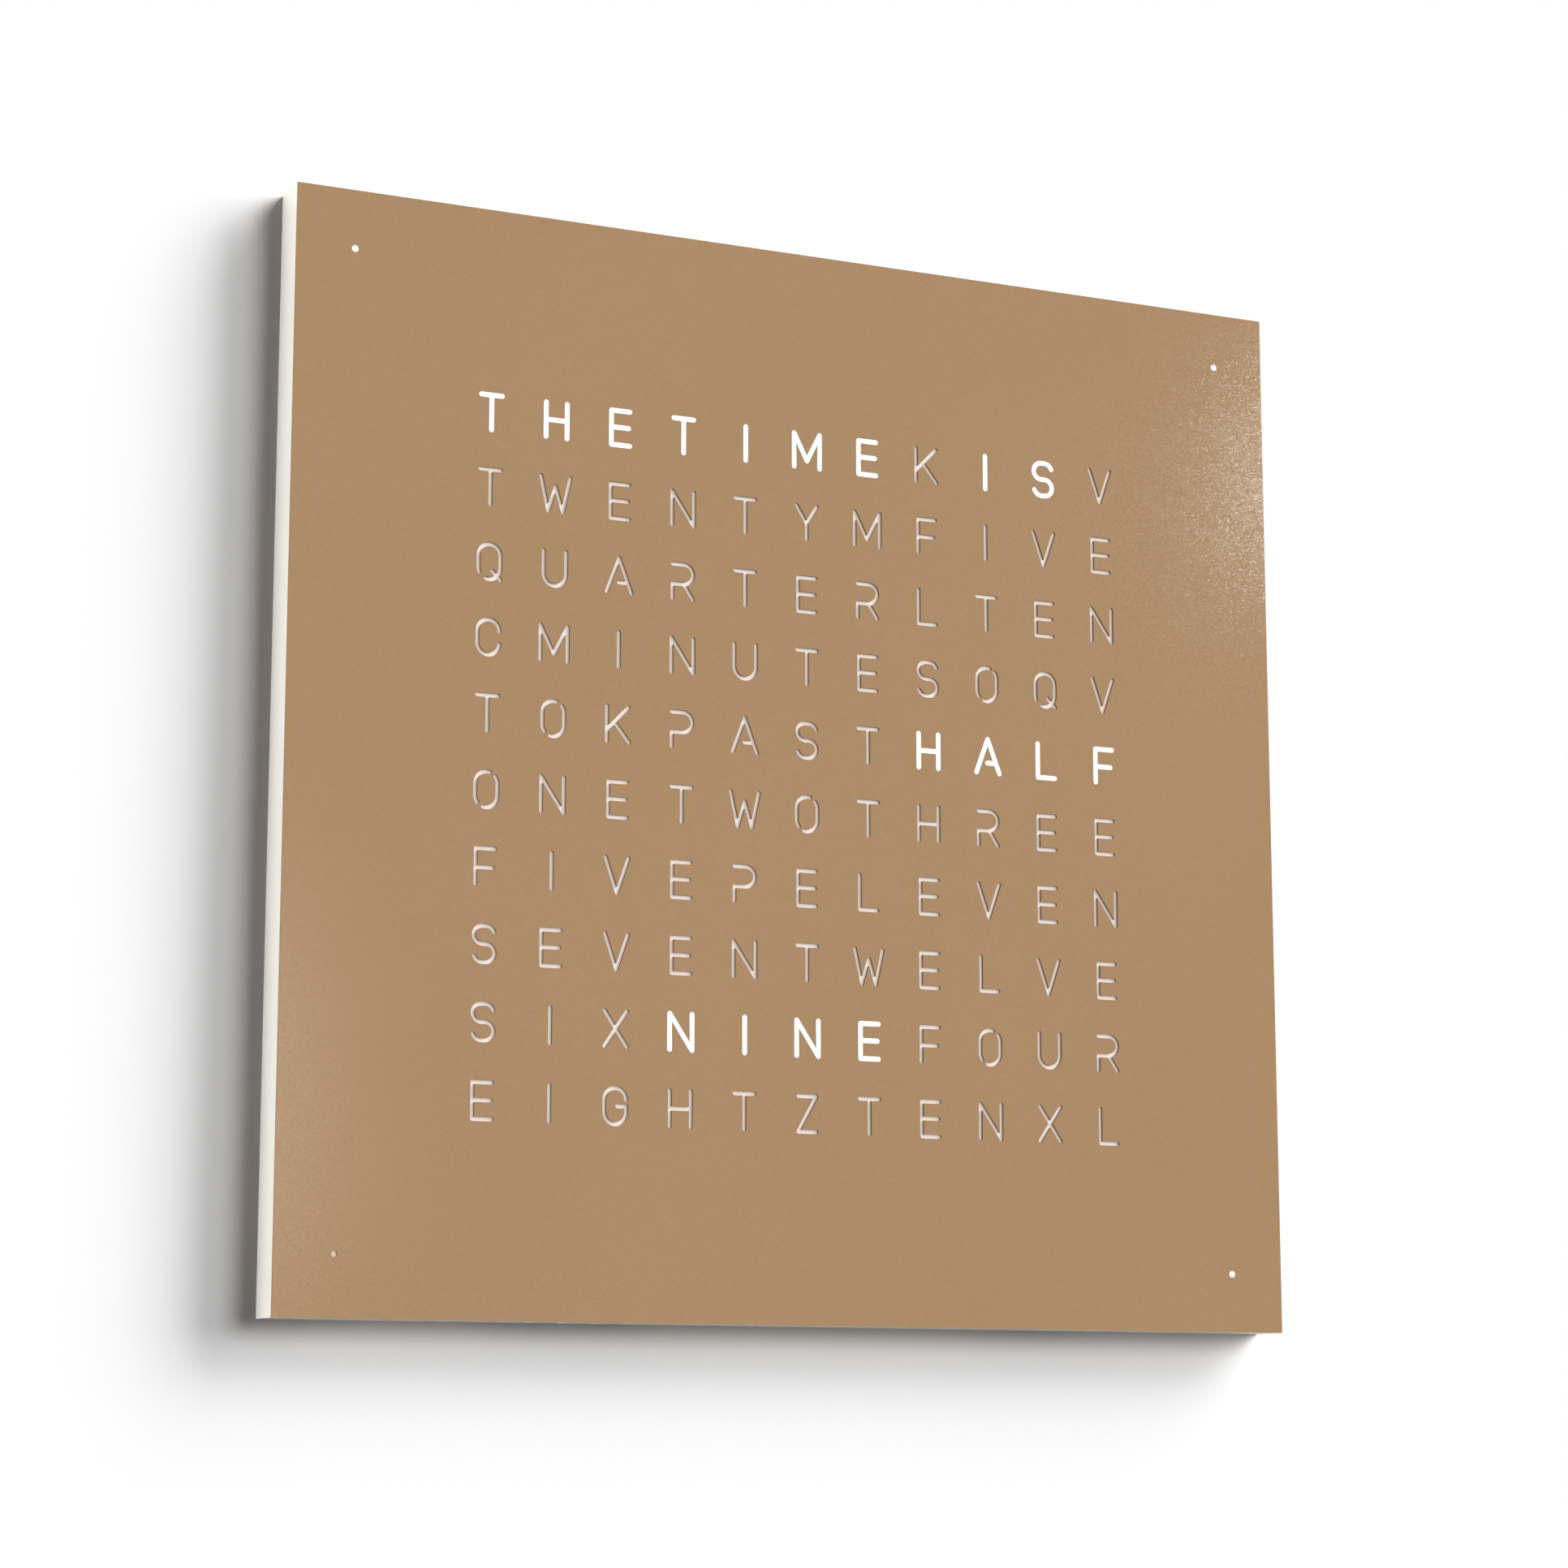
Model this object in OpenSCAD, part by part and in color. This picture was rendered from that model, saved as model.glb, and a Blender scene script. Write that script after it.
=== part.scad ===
// Wall-hung word clock: a square sheet-metal cover with stencil letters, held by magnets on a
// lacquered frame that carries the light cells, the lamps and the electronics.
// The origin is the centre of the back, on the wall. The front looks towards -Y and +Z is up.

/* [Housing] */
// Side of the square clock
side = 450; // [440:1:520]
// Depth from the wall to the front of the cover
depth = 20; // [20:1:30]
// Thickness of the frame's side walls
wall_t = 10; // [10:0.5:12]
// Thickness of the back panel
panel_t = 3; // [2.5:0.5:4]
// Width of the ledge that the back panel seats on
ledge_w = 4; // [3:0.5:5]
// Gap around a piece that drops into its place
fit_gap = 0.3; // [0.2:0.05:0.5]

/* [Front cover] */
// Thickness of the cover sheet
cover_t = 1; // [0.8:0.1:1.5]
// Distance of a corner dot from both edges
dot_inset = 24.5; // [24:0.5:28]
// Diameter of a corner dot
dot_d = 2.4; // [1.5:0.1:4]
// Diameter of a locating pin
pin_d = 3; // [2:0.5:4]
// Length of a locating pin behind the cover
pin_l = 3; // [2:0.5:4]
// Diameter of a holding magnet
magnet_d = 6; // [5:0.5:7]
// Thickness of a holding magnet
magnet_t = 3; // [2:0.5:5]
// Distance of the magnets from the middle of each side
magnet_x = 110; // [60:5:180]

/* [Letters] */
// Height of a letter over its strokes
cap_h = 16.2; // [12:0.1:18]
// Width of a cut stroke
stroke_w = 1.7; // [1:0.1:2]
// Distance between letter columns
col_pitch = 28.25; // [26:0.25:28.5]
// Distance between letter rows
row_pitch = 31; // [28:0.25:31.25]

/* [Light cells] */
// Thickness of the opal sheet behind the cover
diffuser_t = 1; // [0.5:0.25:2]
// Depth of a light cell
cell_t = 7; // [5:0.5:8]
// Thickness of the walls between the cells
cell_wall = 1.2; // [0.8:0.2:2]
// Outer diameter of a corner light cell
corner_cell_d = 12; // [10:0.5:13]
// Bore of a corner light cell
corner_cell_bore = 9.6; // [6:0.2:9.6]
// Length of a lamp
lamp_l = 3.5; // [3:0.5:5]
// Width of a lamp
lamp_w = 2.8; // [2:0.2:4]
// Height of a lamp
lamp_h = 1.4; // [1:0.1:2]

/* [Circuit boards] */
// Thickness of every circuit board
board_t = 1.6; // [1:0.2:2]
// Border of the lamp board around the light cells
board_border = 6; // [6:0.5:8]
// Side of a corner board
corner_board = 24; // [24:0.5:26]
// Width of the control board
control_w = 120; // [120:1:130]
// Height of the control board
control_h = 26; // [26:0.5:28]
// Height of the control board over the back panel
control_lift = 3; // [2:0.5:4]
// Gap between the control board and the frame
board_gap = 3.5; // [3.5:0.5:5]
// Diameter of the shank of a board screw
screw_d = 3; // [2.5:0.1:3]
// Width across the flats of a spacer
spacer_w = 5.5; // [5:0.25:6]

/* [Buttons] */
// Diameter of a button
button_d = 6; // [5:0.5:7]
// Distance between the buttons
button_pitch = 14; // [13:0.5:14]
// Travel of a button
button_travel = 0.5; // [0.3:0.1:0.8]
// Depth of a button's face below the edge
button_sink = 0.2; // [0:0.1:1]
// Running clearance around a button
button_gap = 0.1; // [0.05:0.05:0.2]
// Height of a switch housing
switch_h = 3.5; // [3:0.5:4.5]

/* [Cable tray] */
// Inner length of the cable tray
tray_l = 56; // [50:1:62]
// Inner height of the cable tray
tray_h = 18; // [16:1:20]
// Inner depth of the cable tray
tray_d = 14.5; // [14.5:0.25:15.5]
// Wall of the cable tray
tray_wall = 1.2; // [1:0.1:1.6]
// Length of the power inlet
inlet_l = 14; // [12:0.5:15]
// Width and height of the power inlet
inlet_w = 9; // [9:0.25:9.5]
// Bore of the power inlet
inlet_bore = 6; // [5.5:0.1:6.5]
// Diameter of the inlet's centre pin
inlet_pin = 2; // [2:0.1:2.5]

/* [Hangers] */
// Distance between the two hangers
hanger_pitch = 240; // [180:5:270]
// Width of a hanger plate
hanger_w = 44; // [40:1:50]
// Height of a hanger plate
hanger_h = 36; // [34:1:36]
// Thickness of a hanger plate
hanger_t = 1.5; // [1:0.25:2]
// Diameter of the keyhole's entry
keyhole_d = 9.5; // [9:0.5:11]
// Width of the keyhole's slot
keyhole_slot = 5; // [4.5:0.5:6]

/* [Hidden] */
$fn = 48;

// The letters that the cover carries: the words of the time in reading order, with odd letters
// in the places left over.
ROWS = [
    "THETIMEKISV",
    "TWENTYMFIVE",
    "QUARTERLTEN",
    "CMINUTESOQV",
    "TOKPASTHALF",
    "ONETWOTHREE",
    "FIVEPELEVEN",
    "SEVENTWELVE",
    "SIXNINEFOUR",
    "EIGHTZTENXL"];
rows = len(ROWS);
cols = len(ROWS[0]);

// Layers, counted from the front
cover_back = cover_t - depth;
diffuser_back = cover_back + diffuser_t;
lamp_board_front = diffuser_back + cell_t;
lamp_board_back = lamp_board_front + board_t;
panel_front = -panel_t;
control_back = panel_front - control_lift;
control_front = control_back - board_t;

// The frame
inner = side - 2 * wall_t;
panel_side = inner + 2 * ledge_w - 2 * fit_gap;
rim_mid = (side - wall_t) / 2;
block_w = 14;
block_h = 12;
block_l = 10;
panel_screw_r = 1.5;
panel_screw_l = 9;
panel_head_r = 3;
panel_head_h = 1.8;
pilot_gap = 0.05;
hole_gap = 0.1;

// The light cells and the lamp board
grid_w = cols * col_pitch + cell_wall;
grid_h = rows * row_pitch + cell_wall;
lamp_board_w = grid_w + 2 * board_border;
lamp_board_h = grid_h + 2 * board_border;
// Pegs of the light grid, at crossings of its walls near the corners
peg_r = 1.4;
pegs_at = [for (x = [-1, 1], z = [-1, 1])
    [x * (cols / 2 - 1) * col_pitch, z * (rows / 2 - 1) * row_pitch]];
screw_r = screw_d / 2;
pan_head_r = screw_r + 1.2;
pan_head_h = 1.6;
lamp_screw_in = board_border / 2;
lamp_screw_z = 120;
lamp_screws = [
    for (x = [-1, 1], z = [-1:1]) [x * (lamp_board_w / 2 - lamp_screw_in), z * lamp_screw_z],
    for (z = [-1, 1]) [0, z * (lamp_board_h / 2 - lamp_screw_in)]];
driver_chip = [10, 1.5, 7];
driver_x = 75;
corner_x = side / 2 - dot_inset;
block_x = corner_x - corner_board / 2 - block_w / 2 - 5;
corner_screw_x = corner_board / 2 - 3.5;
corner_screws_at = [
    for (i = [-1, 1], k = [-1, 1], m = [-1, 1])
        [i * (corner_x + m * corner_screw_x), k * (corner_x - m * corner_screw_x)]];
lead_w = 3;
lead_t = 1;
lead_reach = 34;
lead_on_corner = 4;

// The control board
control_z = (control_h - inner) / 2 + board_gap;
control_screws_at = [for (x = [-1, 1], z = [-1, 1])
    [x * (control_w / 2 - 4), control_z + z * (control_h / 2 - 4)]];
// Its components: width, height and thickness
controller_size = [10, 10, 1.4];
clock_size = [5, 4, 1.5];
crystal_size = [4, 8, 3];
regulator_size = [6.5, 6.2, 2.3];
inductor_size = [8, 8, 4];
capacitor_r = 4;
capacitor_h = 7;
coin_x = 26 - control_w / 2;
coin_r = 10;
coin_t = 3.2;
holder_base = 1;
holder_wall = 1.5;
holder_slot = 8;
ribbon_t = 0.6;
lamp_socket = [16, 3, 5];
lamp_socket_x = 31;
button_socket = [6, 5, 8];

// The cable tray and the power inlet
lead_run = 10;
lead_on_board = 6;
power_lead_r = 0.8;
inlet_x = control_w / 2 + lead_run;
tray_x = inlet_x + inlet_l;
tray_flange = 3;
tray_flange_t = 1.5;
inlet_y = panel_front - tray_flange_t - inlet_w / 2;
inlet_floor = 4;
tray_mid = tray_x + tray_l / 2;
tray_boss_r = 2.7;
tray_boss_l = 5;
tray_boss_z = tray_h / 2 + tray_wall + tray_flange;
tray_screw_l = 6.5;
tray_screws_at = [for (m = [-1, 1]) [tray_mid, control_z + m * tray_boss_z]];

// The buttons, in the lower edge
button_y = -depth / 2;
button_from = -side / 2 + button_sink;
floor_z = -inner / 2;
flange_gap = 0.1;
button_flange_r = button_d / 2 + 1;
button_flange_t = 1.2;
button_top = floor_z + flange_gap + button_flange_t;
switch_from = button_top + button_travel + 0.5;
switch_w = 6;
plunger_r = 1.7;
plunger_l = 2.6;
button_board_from = switch_from + switch_h;
button_board_top = button_board_from + board_t;
button_board_y = 10;
button_post_w = 7;
button_x = -control_w / 2 - 3 * button_pitch - 3;
button_board_x = [button_x - 2 * button_pitch - 1, button_x + 3 * button_pitch + 1];
button_posts = [button_board_x[0] + button_post_w / 2, button_board_x[1] - button_post_w / 2];
sensor_x = button_x + 2 * button_pitch;
button_screw_in = 4.5;
sensor_h = 1.6;
window_r = 2;
button_socket_x = sensor_x + 2;
control_socket_x = (button_socket[0] - control_w) / 2 + 1;

// The hangers
hanger_z = inner / 2 - 25;
hang_z = hanger_z + 6;
keyhole_z = hanger_z - 5;
panel_keyhole_gap = 2.5;
rivet_r = 1.6;
rivet_head_r = 3;
rivet_head_h = 1.2;
rivets_at = [for (i = [-1, 1], x = [-1, 1], z = [-1, 1])
    [i * hanger_pitch / 2 + x * (hanger_w / 2 - 5), hanger_z + z * (hanger_h / 2 - 5)]];

// A block w wide and h high between two depths, centred at x and z
module slab(w, h, y0, y1, x = 0, z = 0) {
    translate([x - w / 2, y0, z - h / 2]) cube([w, y1 - y0, h]);
}

// A round bar along Y between two depths
module rod(r, y0, y1, x = 0, z = 0) {
    translate([x, y1, z]) rotate([90, 0, 0]) cylinder(h = y1 - y0, r = r);
}

// A flat outline in X and Z, given thickness between two depths
module sheet(y0, y1) {
    translate([0, y1, 0]) rotate([90, 0, 0]) linear_extrude(y1 - y0) children();
}

// A pan-head screw whose head lies on the plane y, pointing towards the wall
module pan_screw(at, y, shank_l) {
    difference() {
        union() {
            rod(pan_head_r, y - pan_head_h, y, at[0], at[1]);
            rod(screw_r, y - 0.01, y + shank_l, at[0], at[1]);
        }
        cross_recess(at, y - pan_head_h - 0.01, y - pan_head_h / 2, screw_r);
    }
}

// A countersunk screw or rivet whose head is flush with the wall side of the back panel
module flush_screw(at, head_r, head_h, shank_r, shank_l, recess = true) {
    difference() {
        union() {
            translate([at[0], 0, at[1]]) rotate([90, 0, 0]) cylinder(h = head_h, r1 = head_r, r2 = shank_r);
            rod(shank_r, -shank_l, 0.01 - head_h, at[0], at[1]);
        }
        if (recess) cross_recess(at, -head_h / 2, 0.01, head_r * 0.6);
    }
}

module cross_recess(at, y0, y1, r) {
    slab(2 * r, 0.6, y0, y1, at[0], at[1]);
    slab(0.6, 2 * r, y0, y1, at[0], at[1]);
}

// The hole and countersink that take a flush screw in the back panel
module flush_hole(at, head_r, head_h, shank_r) {
    rod(shank_r + hole_gap, panel_front - 1, 1, at[0], at[1]);
    translate([at[0], 0.01, at[1]]) rotate([90, 0, 0])
        cylinder(h = head_h + 0.01, r1 = head_r + hole_gap, r2 = shank_r + hole_gap);
}

// Clear holes through a board between two depths, for screws or pegs of radius r
module holes(points, r, y0, y1) {
    for (p = points) rod(r + hole_gap, y0 - 1, y1 + 1, p[0], p[1]);
}

// A hexagonal spacer between two depths, bored for a screw
module spacer(at, y0, y1) {
    difference() {
        translate([at[0], y1, at[1]]) rotate([90, 30, 0])
            cylinder(h = y1 - y0, r = spacer_w / sqrt(3), $fn = 6);
        rod(screw_r + pilot_gap, y0 - 1, y1 + 1, at[0], at[1]);
    }
}

function arc_points(r, from, to, steps) =
    [for (i = [0:steps]) r * [cos(from + (to - from) * i / steps), sin(from + (to - from) * i / steps)]];

// A straight stroke of a letter, with round ends
module stroke(from, to) {
    run = to - from;
    w = stroke_w / 2;
    translate(from) rotate(atan2(run[1], run[0])) polygon(concat(
        arc_points(w, 90, 270, 4),
        [for (p = arc_points(w, -90, 90, 4)) p + [norm(run), 0]]));
}

// A curved stroke around a centre, with round ends
module bow(centre, r, from, to) {
    steps = ceil((to - from) / 18);
    w = stroke_w / 2;
    translate(centre) polygon(concat(
        arc_points(r + w, from, to, steps),
        [for (p = arc_points(w, to, to + 180, 4)) p + r * [cos(to), sin(to)]],
        arc_points(r - w, to, from, steps),
        [for (p = arc_points(w, from + 180, from + 360, 4)) p + r * [cos(from), sin(from)]]));
}

// Strokes from point to point along a list
module strokes(points) {
    for (i = [1:len(points) - 1]) stroke(points[i - 1], points[i]);
}

// A stencil capital, centred on its place. Closed forms keep bridges, so that no piece falls out.
module letter(c) {
    a = (cap_h - stroke_w) / 2;
    k = a / 7.25;
    if (c == "A") {
        strokes([[-5.5 * k, -a], [0, a], [5.5 * k, -a]]);
        stroke([-0.3 * k, -3 * k], [3.9 * k, -3 * k]);
    }
    if (c == "C" || c == "G") {
        r = 4.7 * k;
        bow([0, a - r], r, 0, 180);
        stroke([-r, a - r], [-r, r - a]);
        bow([0, r - a], r, 180, 360);
        if (c == "G") strokes([[r, r - a], [r, 0], [0.8 * k, 0]]);
    }
    if (c == "E" || c == "F") {
        x = 4.1 * k;
        stroke([-x, -a], [-x, a]);
        stroke([-x, a], [x, a]);
        if (c == "E") {
            stroke([-x, 0.2 * k], [x - 0.5 * k, 0.2 * k]);
            stroke([-x, -a], [x, -a]);
        }
        if (c == "F") stroke([-x, -0.4 * k], [x - 0.9 * k, -0.4 * k]);
    }
    if (c == "H" || c == "N") {
        x = (c == "H" ? 4.6 : 4.9) * k;
        for (m = [-x, x]) stroke([m, -a], [m, a]);
        if (c == "H") stroke([-x, 0], [x, 0]);
        if (c == "N") stroke([-x, a], [x, -a]);
    }
    if (c == "I") stroke([0, -a], [0, a]);
    if (c == "K") {
        x = 4.9 * k;
        stroke([-x, -a], [-x, a]);
        stroke([-x, -2.6 * k], [x - 0.3 * k, a]);
        stroke([-1.6 * k, 0.8 * k], [x, -a]);
    }
    if (c == "L") strokes([[-4.1 * k, a], [-4.1 * k, -a], [4.1 * k, -a]]);
    if (c == "M") {
        x = 5.9 * k;
        strokes([[-x, -a], [-x, a], [0, -4.4 * k], [x, a], [x, -a]]);
    }
    if (c == "O") {
        r = 4.7 * k;
        bow([0, a - r], r, 0, 38);
        bow([0, a - r], r, 72, 180);
        bow([0, r - a], r, 180, 218);
        bow([0, r - a], r, 252, 360);
        for (x = [-r, r]) stroke([x, r - a], [x, a - r]);
    }
    if (c == "P" || c == "R") {
        x = 4.6 * k;
        mid = -1 * k;
        r = (a - mid) / 2;
        stroke([-x, a], [x - r, a]);
        bow([x - r, a - r], r, -90, 90);
        strokes([[x - r, mid], [-x, mid], [-x, -a]]);
        if (c == "R") stroke([x - r, mid], [x, -a]);
    }
    if (c == "Q") {
        r = 4.7 * k;
        bow([0, a - r], r, 0, 180);
        stroke([-r, a - r], [-r, r - a]);
        bow([0, r - a], r, 180, 206);
        bow([0, r - a], r, 250, 360);
        stroke([r, r - a], [r, a - r]);
        stroke([1.2 * k, -3.6 * k], [4.9 * k, -a]);
    }
    if (c == "S") {
        r = a / 2;
        x = 0.8 * k;
        for (turn = [0, 180]) rotate(turn) {
            bow([x, r], r, 20, 90);
            stroke([x, a], [-x, a]);
            bow([-x, r], r, 90, 270);
        }
        stroke([-x, 0], [x, 0]);
    }
    if (c == "T") {
        stroke([-4.5 * k, a], [4.5 * k, a]);
        stroke([0, a], [0, -a]);
    }
    if (c == "U") {
        r = 4.9 * k;
        for (x = [-r, r]) stroke([x, r - a], [x, a]);
        bow([0, r - a], r, 180, 360);
    }
    if (c == "V") strokes([[-5 * k, a], [0, -a], [5 * k, a]]);
    if (c == "W") strokes([[-6.4 * k, a], [-3.2 * k, -a], [0, a - 4 * k], [3.2 * k, -a], [6.4 * k, a]]);
    if (c == "X") for (m = [-1, 1]) stroke([-4.9 * k * m, -a], [4.9 * k * m, a]);
    if (c == "Y") {
        strokes([[-4.8 * k, a], [0, -0.5 * k], [4.8 * k, a]]);
        stroke([0, -0.5 * k], [0, -a]);
    }
    if (c == "Z") strokes([[-4.1 * k, a], [4.1 * k, a], [-4.1 * k, -a], [4.1 * k, -a]]);
}

// Puts its children at every letter's place, in the plane of the front
module at_letters() {
    for (row = [0:rows - 1], col = [0:cols - 1])
        translate([(col - (cols - 1) / 2) * col_pitch, ((rows - 1) / 2 - row) * row_pitch])
            children();
}

// The front cover: 1 mm steel, laser-cut and powder-coated
module front_cover() {
    color("#AD8C6C") sheet(-depth, cover_back) difference() {
        square(side, center = true);
        for (row = [0:rows - 1], col = [0:cols - 1])
            translate([(col - (cols - 1) / 2) * col_pitch, ((rows - 1) / 2 - row) * row_pitch])
                letter(ROWS[row][col]);
        for (x = [-1, 1], z = [-1, 1]) translate([x * corner_x, z * corner_x]) circle(d = dot_d);
    }
}

// Pins welded to the back of the cover, which find it its place on the frame
module cover_locating_pins() {
    color("silver") for (p = [[rim_mid, 0], [-rim_mid, 0], [0, rim_mid], [0, -rim_mid]])
        rod(pin_d / 2, cover_back, cover_back + pin_l, p[0], p[1]);
}

module at_magnets() {
    for (m = [-1, 1], n = [-1, 1]) {
        translate([m * magnet_x, 0, n * rim_mid]) children();
        translate([n * rim_mid, 0, m * magnet_x]) children();
    }
}

// Disc magnets glued into the frame's front rim
module magnets() {
    color("#B8B8BC") at_magnets() rod(magnet_d / 2, cover_back, cover_back + magnet_t);
}

// The frame: a lacquered ring with blocks for the panel's screws and posts for the button board
module body_frame() {
    color("#E6E4DD") difference() {
        union() {
            difference() {
                slab(side, side, cover_back, 0);
                slab(inner, inner, cover_back - 1, 1);
                slab(inner + 2 * ledge_w, inner + 2 * ledge_w, panel_front, 1);
            }
            at_panel_screws() slab(block_w, block_h, panel_front - block_l, panel_front, 0, block_h / 2);
            for (x = button_posts)
                translate([x - button_post_w / 2, button_y - button_board_y / 2, floor_z - 1])
                    cube([button_post_w, button_board_y, button_board_from - floor_z + 1]);
        }
        at_panel_screws() rod(panel_screw_r + pilot_gap, -panel_screw_l - 0.5, 1, 0, block_h / 2);
        at_magnets() rod(magnet_d / 2 + pilot_gap, cover_back - 1, cover_back + magnet_t);
        for (p = [[rim_mid, 0], [-rim_mid, 0], [0, rim_mid], [0, -rim_mid]])
            rod(pin_d / 2 + hole_gap, cover_back - 1, cover_back + pin_l + 0.5, p[0], p[1]);
        for (i = [-1:1]) drill(button_d / 2 + button_gap, button_x + i * button_pitch, 1);
        drill(window_r + hole_gap, sensor_x, 1);
        for (x = button_posts)
            translate([x, button_y, button_board_from - button_screw_in - 0.5])
                cylinder(h = button_screw_in + 1.5, r = screw_r + pilot_gap);
    }
}

// Puts its children at the two screws of each side, turned so that +Z points inwards
module at_panel_screws() {
    for (turn = [0:3], x = [-1, 1])
        rotate([0, 90 * turn, 0]) translate([x * block_x, 0, floor_z]) children();
}

// A hole up through the frame's lower wall
module drill(r, x, over) {
    translate([x, button_y, -side / 2 - over]) cylinder(h = wall_t + 2 * over, r = r);
}

// The outlines of both keyholes, grown all round
module keyholes(grow) {
    slot_w = keyhole_slot + 2 * grow;
    for (m = [-1, 1]) translate([m * hanger_pitch / 2, keyhole_z]) {
        circle(d = keyhole_d + 2 * grow);
        translate([0, hang_z - keyhole_z]) circle(d = slot_w);
        translate([-slot_w / 2, 0]) square([slot_w, hang_z - keyhole_z]);
    }
}

// The back panel: coated aluminium sheet, screwed to the frame's blocks
module back_panel() {
    color("#4A4A4C") difference() {
        slab(panel_side, panel_side, panel_front, 0);
        sheet(panel_front - 1, 1) {
            keyholes(panel_keyhole_gap);
            translate([tray_mid, control_z]) square([tray_l, tray_h], center = true);
        }
        at_panel_screws() flush_hole([0, block_h / 2], panel_head_r, panel_head_h, panel_screw_r);
        for (p = rivets_at) flush_hole(p, rivet_head_r, rivet_head_h, rivet_r);
        for (p = tray_screws_at) flush_hole(p, panel_head_r, panel_head_h, panel_screw_r);
    }
}

module back_panel_screws() {
    color("silver") at_panel_screws()
        flush_screw([0, block_h / 2], panel_head_r, panel_head_h, panel_screw_r, panel_screw_l);
}

// Steel plates behind the panel's keyholes, which hang on two screws in the wall
module hanger_plates() {
    color("#C9CACC") difference() {
        for (m = [-1, 1])
            slab(hanger_w, hanger_h, panel_front - hanger_t, panel_front, m * hanger_pitch / 2, hanger_z);
        sheet(panel_front - hanger_t - 1, panel_front + 1) keyholes(0);
        holes(rivets_at, rivet_r, panel_front - hanger_t, panel_front);
    }
}

module hanger_rivets() {
    color("silver") for (p = rivets_at) {
        flush_screw(p, rivet_head_r, rivet_head_h, rivet_r, panel_t + hanger_t + 0.1, false);
        rod(rivet_head_r, panel_front - hanger_t - rivet_head_h, panel_front - hanger_t, p[0], p[1]);
    }
}

// The tray that a plug and its lead lie in, open to the wall
module cable_tray() {
    color("#2B2B2D") difference() {
        union() {
            slab(tray_l + 2 * tray_wall, tray_h + 2 * tray_wall,
                -tray_d - tray_wall, panel_front, tray_mid, control_z);
            slab(tray_l + 2 * (tray_wall + tray_flange), tray_h + 2 * (tray_wall + tray_flange),
                panel_front - tray_flange_t, panel_front, tray_mid, control_z);
            for (p = tray_screws_at) rod(tray_boss_r, panel_front - tray_boss_l, panel_front, p[0], p[1]);
        }
        slab(tray_l, tray_h, -tray_d, 1, tray_mid, control_z);
        slab(3 * tray_wall, inlet_w + 2 * hole_gap,
            inlet_y - inlet_w / 2 - hole_gap, inlet_y + inlet_w / 2, tray_x, control_z);
        for (p = tray_screws_at)
            rod(panel_screw_r + pilot_gap, panel_front - tray_boss_l - 1, 1, p[0], p[1]);
    }
}

module cable_tray_screws() {
    color("silver") for (p = tray_screws_at)
        flush_screw(p, panel_head_r, panel_head_h, panel_screw_r, tray_screw_l);
}

// The socket for the supply's round plug, at the end of the tray
module power_inlet() {
    color("#1E1E20") difference() {
        slab(inlet_l, inlet_w, inlet_y - inlet_w / 2, inlet_y + inlet_w / 2,
            inlet_x + inlet_l / 2, control_z);
        translate([inlet_x + inlet_floor, inlet_y, control_z]) rotate([0, 90, 0])
            cylinder(h = inlet_l, r = inlet_bore / 2);
    }
}

module power_inlet_pin() {
    color("silver") translate([inlet_x + inlet_floor, inlet_y, control_z]) rotate([0, 90, 0])
        cylinder(h = inlet_l - inlet_floor - 1, r = inlet_pin / 2);
}

module power_leads() {
    y = control_front - power_lead_r - hole_gap / 2;
    color("#A03028") for (m = [-1, 1])
        translate([inlet_x - lead_run - lead_on_board, y, control_z + m * inlet_w / 4])
            rotate([0, 90, 0]) cylinder(h = lead_run + lead_on_board, r = power_lead_r);
}

module control_board() {
    color("#1F5A3A") difference() {
        slab(control_w, control_h, control_front, control_back, 0, control_z);
        holes(control_screws_at, screw_r, control_front, control_back);
    }
}

module control_spacers() {
    color("#C8B273") for (p = control_screws_at) spacer(p, control_back, panel_front);
}

module control_screws() {
    color("silver") for (p = control_screws_at) pan_screw(p, control_front, board_t + control_lift - 0.5);
}

// A component that stands on the front of the control board
module on_control(size, x, z) {
    slab(size[0], size[1], control_front - size[2], control_front, x, control_z + z);
}

module microcontroller() {
    color("#222224") on_control(controller_size, 0, 2);
}

module clock_chip() {
    color("#222224") on_control(clock_size, -12, -6);
}

module clock_crystal() {
    color("silver") on_control(crystal_size, -12, 5);
}

module coin_cell_holder() {
    seat = control_front - holder_base;
    color("#2B2B2D") difference() {
        rod(coin_r + hole_gap + holder_wall, seat - coin_t + 0.4, control_front, coin_x, control_z);
        rod(coin_r + hole_gap, seat - coin_t - 1, seat, coin_x, control_z);
        slab(holder_slot, 3 * coin_r, seat - coin_t - 1, seat, coin_x, control_z);
    }
}

module coin_cell() {
    seat = control_front - holder_base;
    color("silver") rod(coin_r, seat - coin_t, seat, coin_x, control_z);
}

module voltage_regulator() {
    color("#222224") on_control(regulator_size, control_w / 2 - 14, -7);
}

module power_inductor() {
    color("#3A3A3E") on_control(inductor_size, control_w / 2 - 24, -7);
}

module filter_capacitors() {
    color("#9FA3AA") for (z = [-7.5, 2.5])
        rod(capacitor_r, control_front - capacitor_h, control_front, 18, control_z + z);
}

// Sockets of the ribbon from the control board to the lamp board, one on each
module lamp_ribbon_sockets() {
    color("#E9E6DA") {
        slab(lamp_socket[0], lamp_socket[2], control_front - lamp_socket[1], control_front,
            lamp_socket_x, control_z + control_h / 2 - lamp_socket[2] / 2 - 3);
        slab(lamp_socket[0], lamp_socket[2], lamp_board_back, lamp_board_back + lamp_socket[1],
            lamp_socket_x, lamp_socket[2] / 2 + 2 - lamp_board_h / 2);
    }
}

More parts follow.
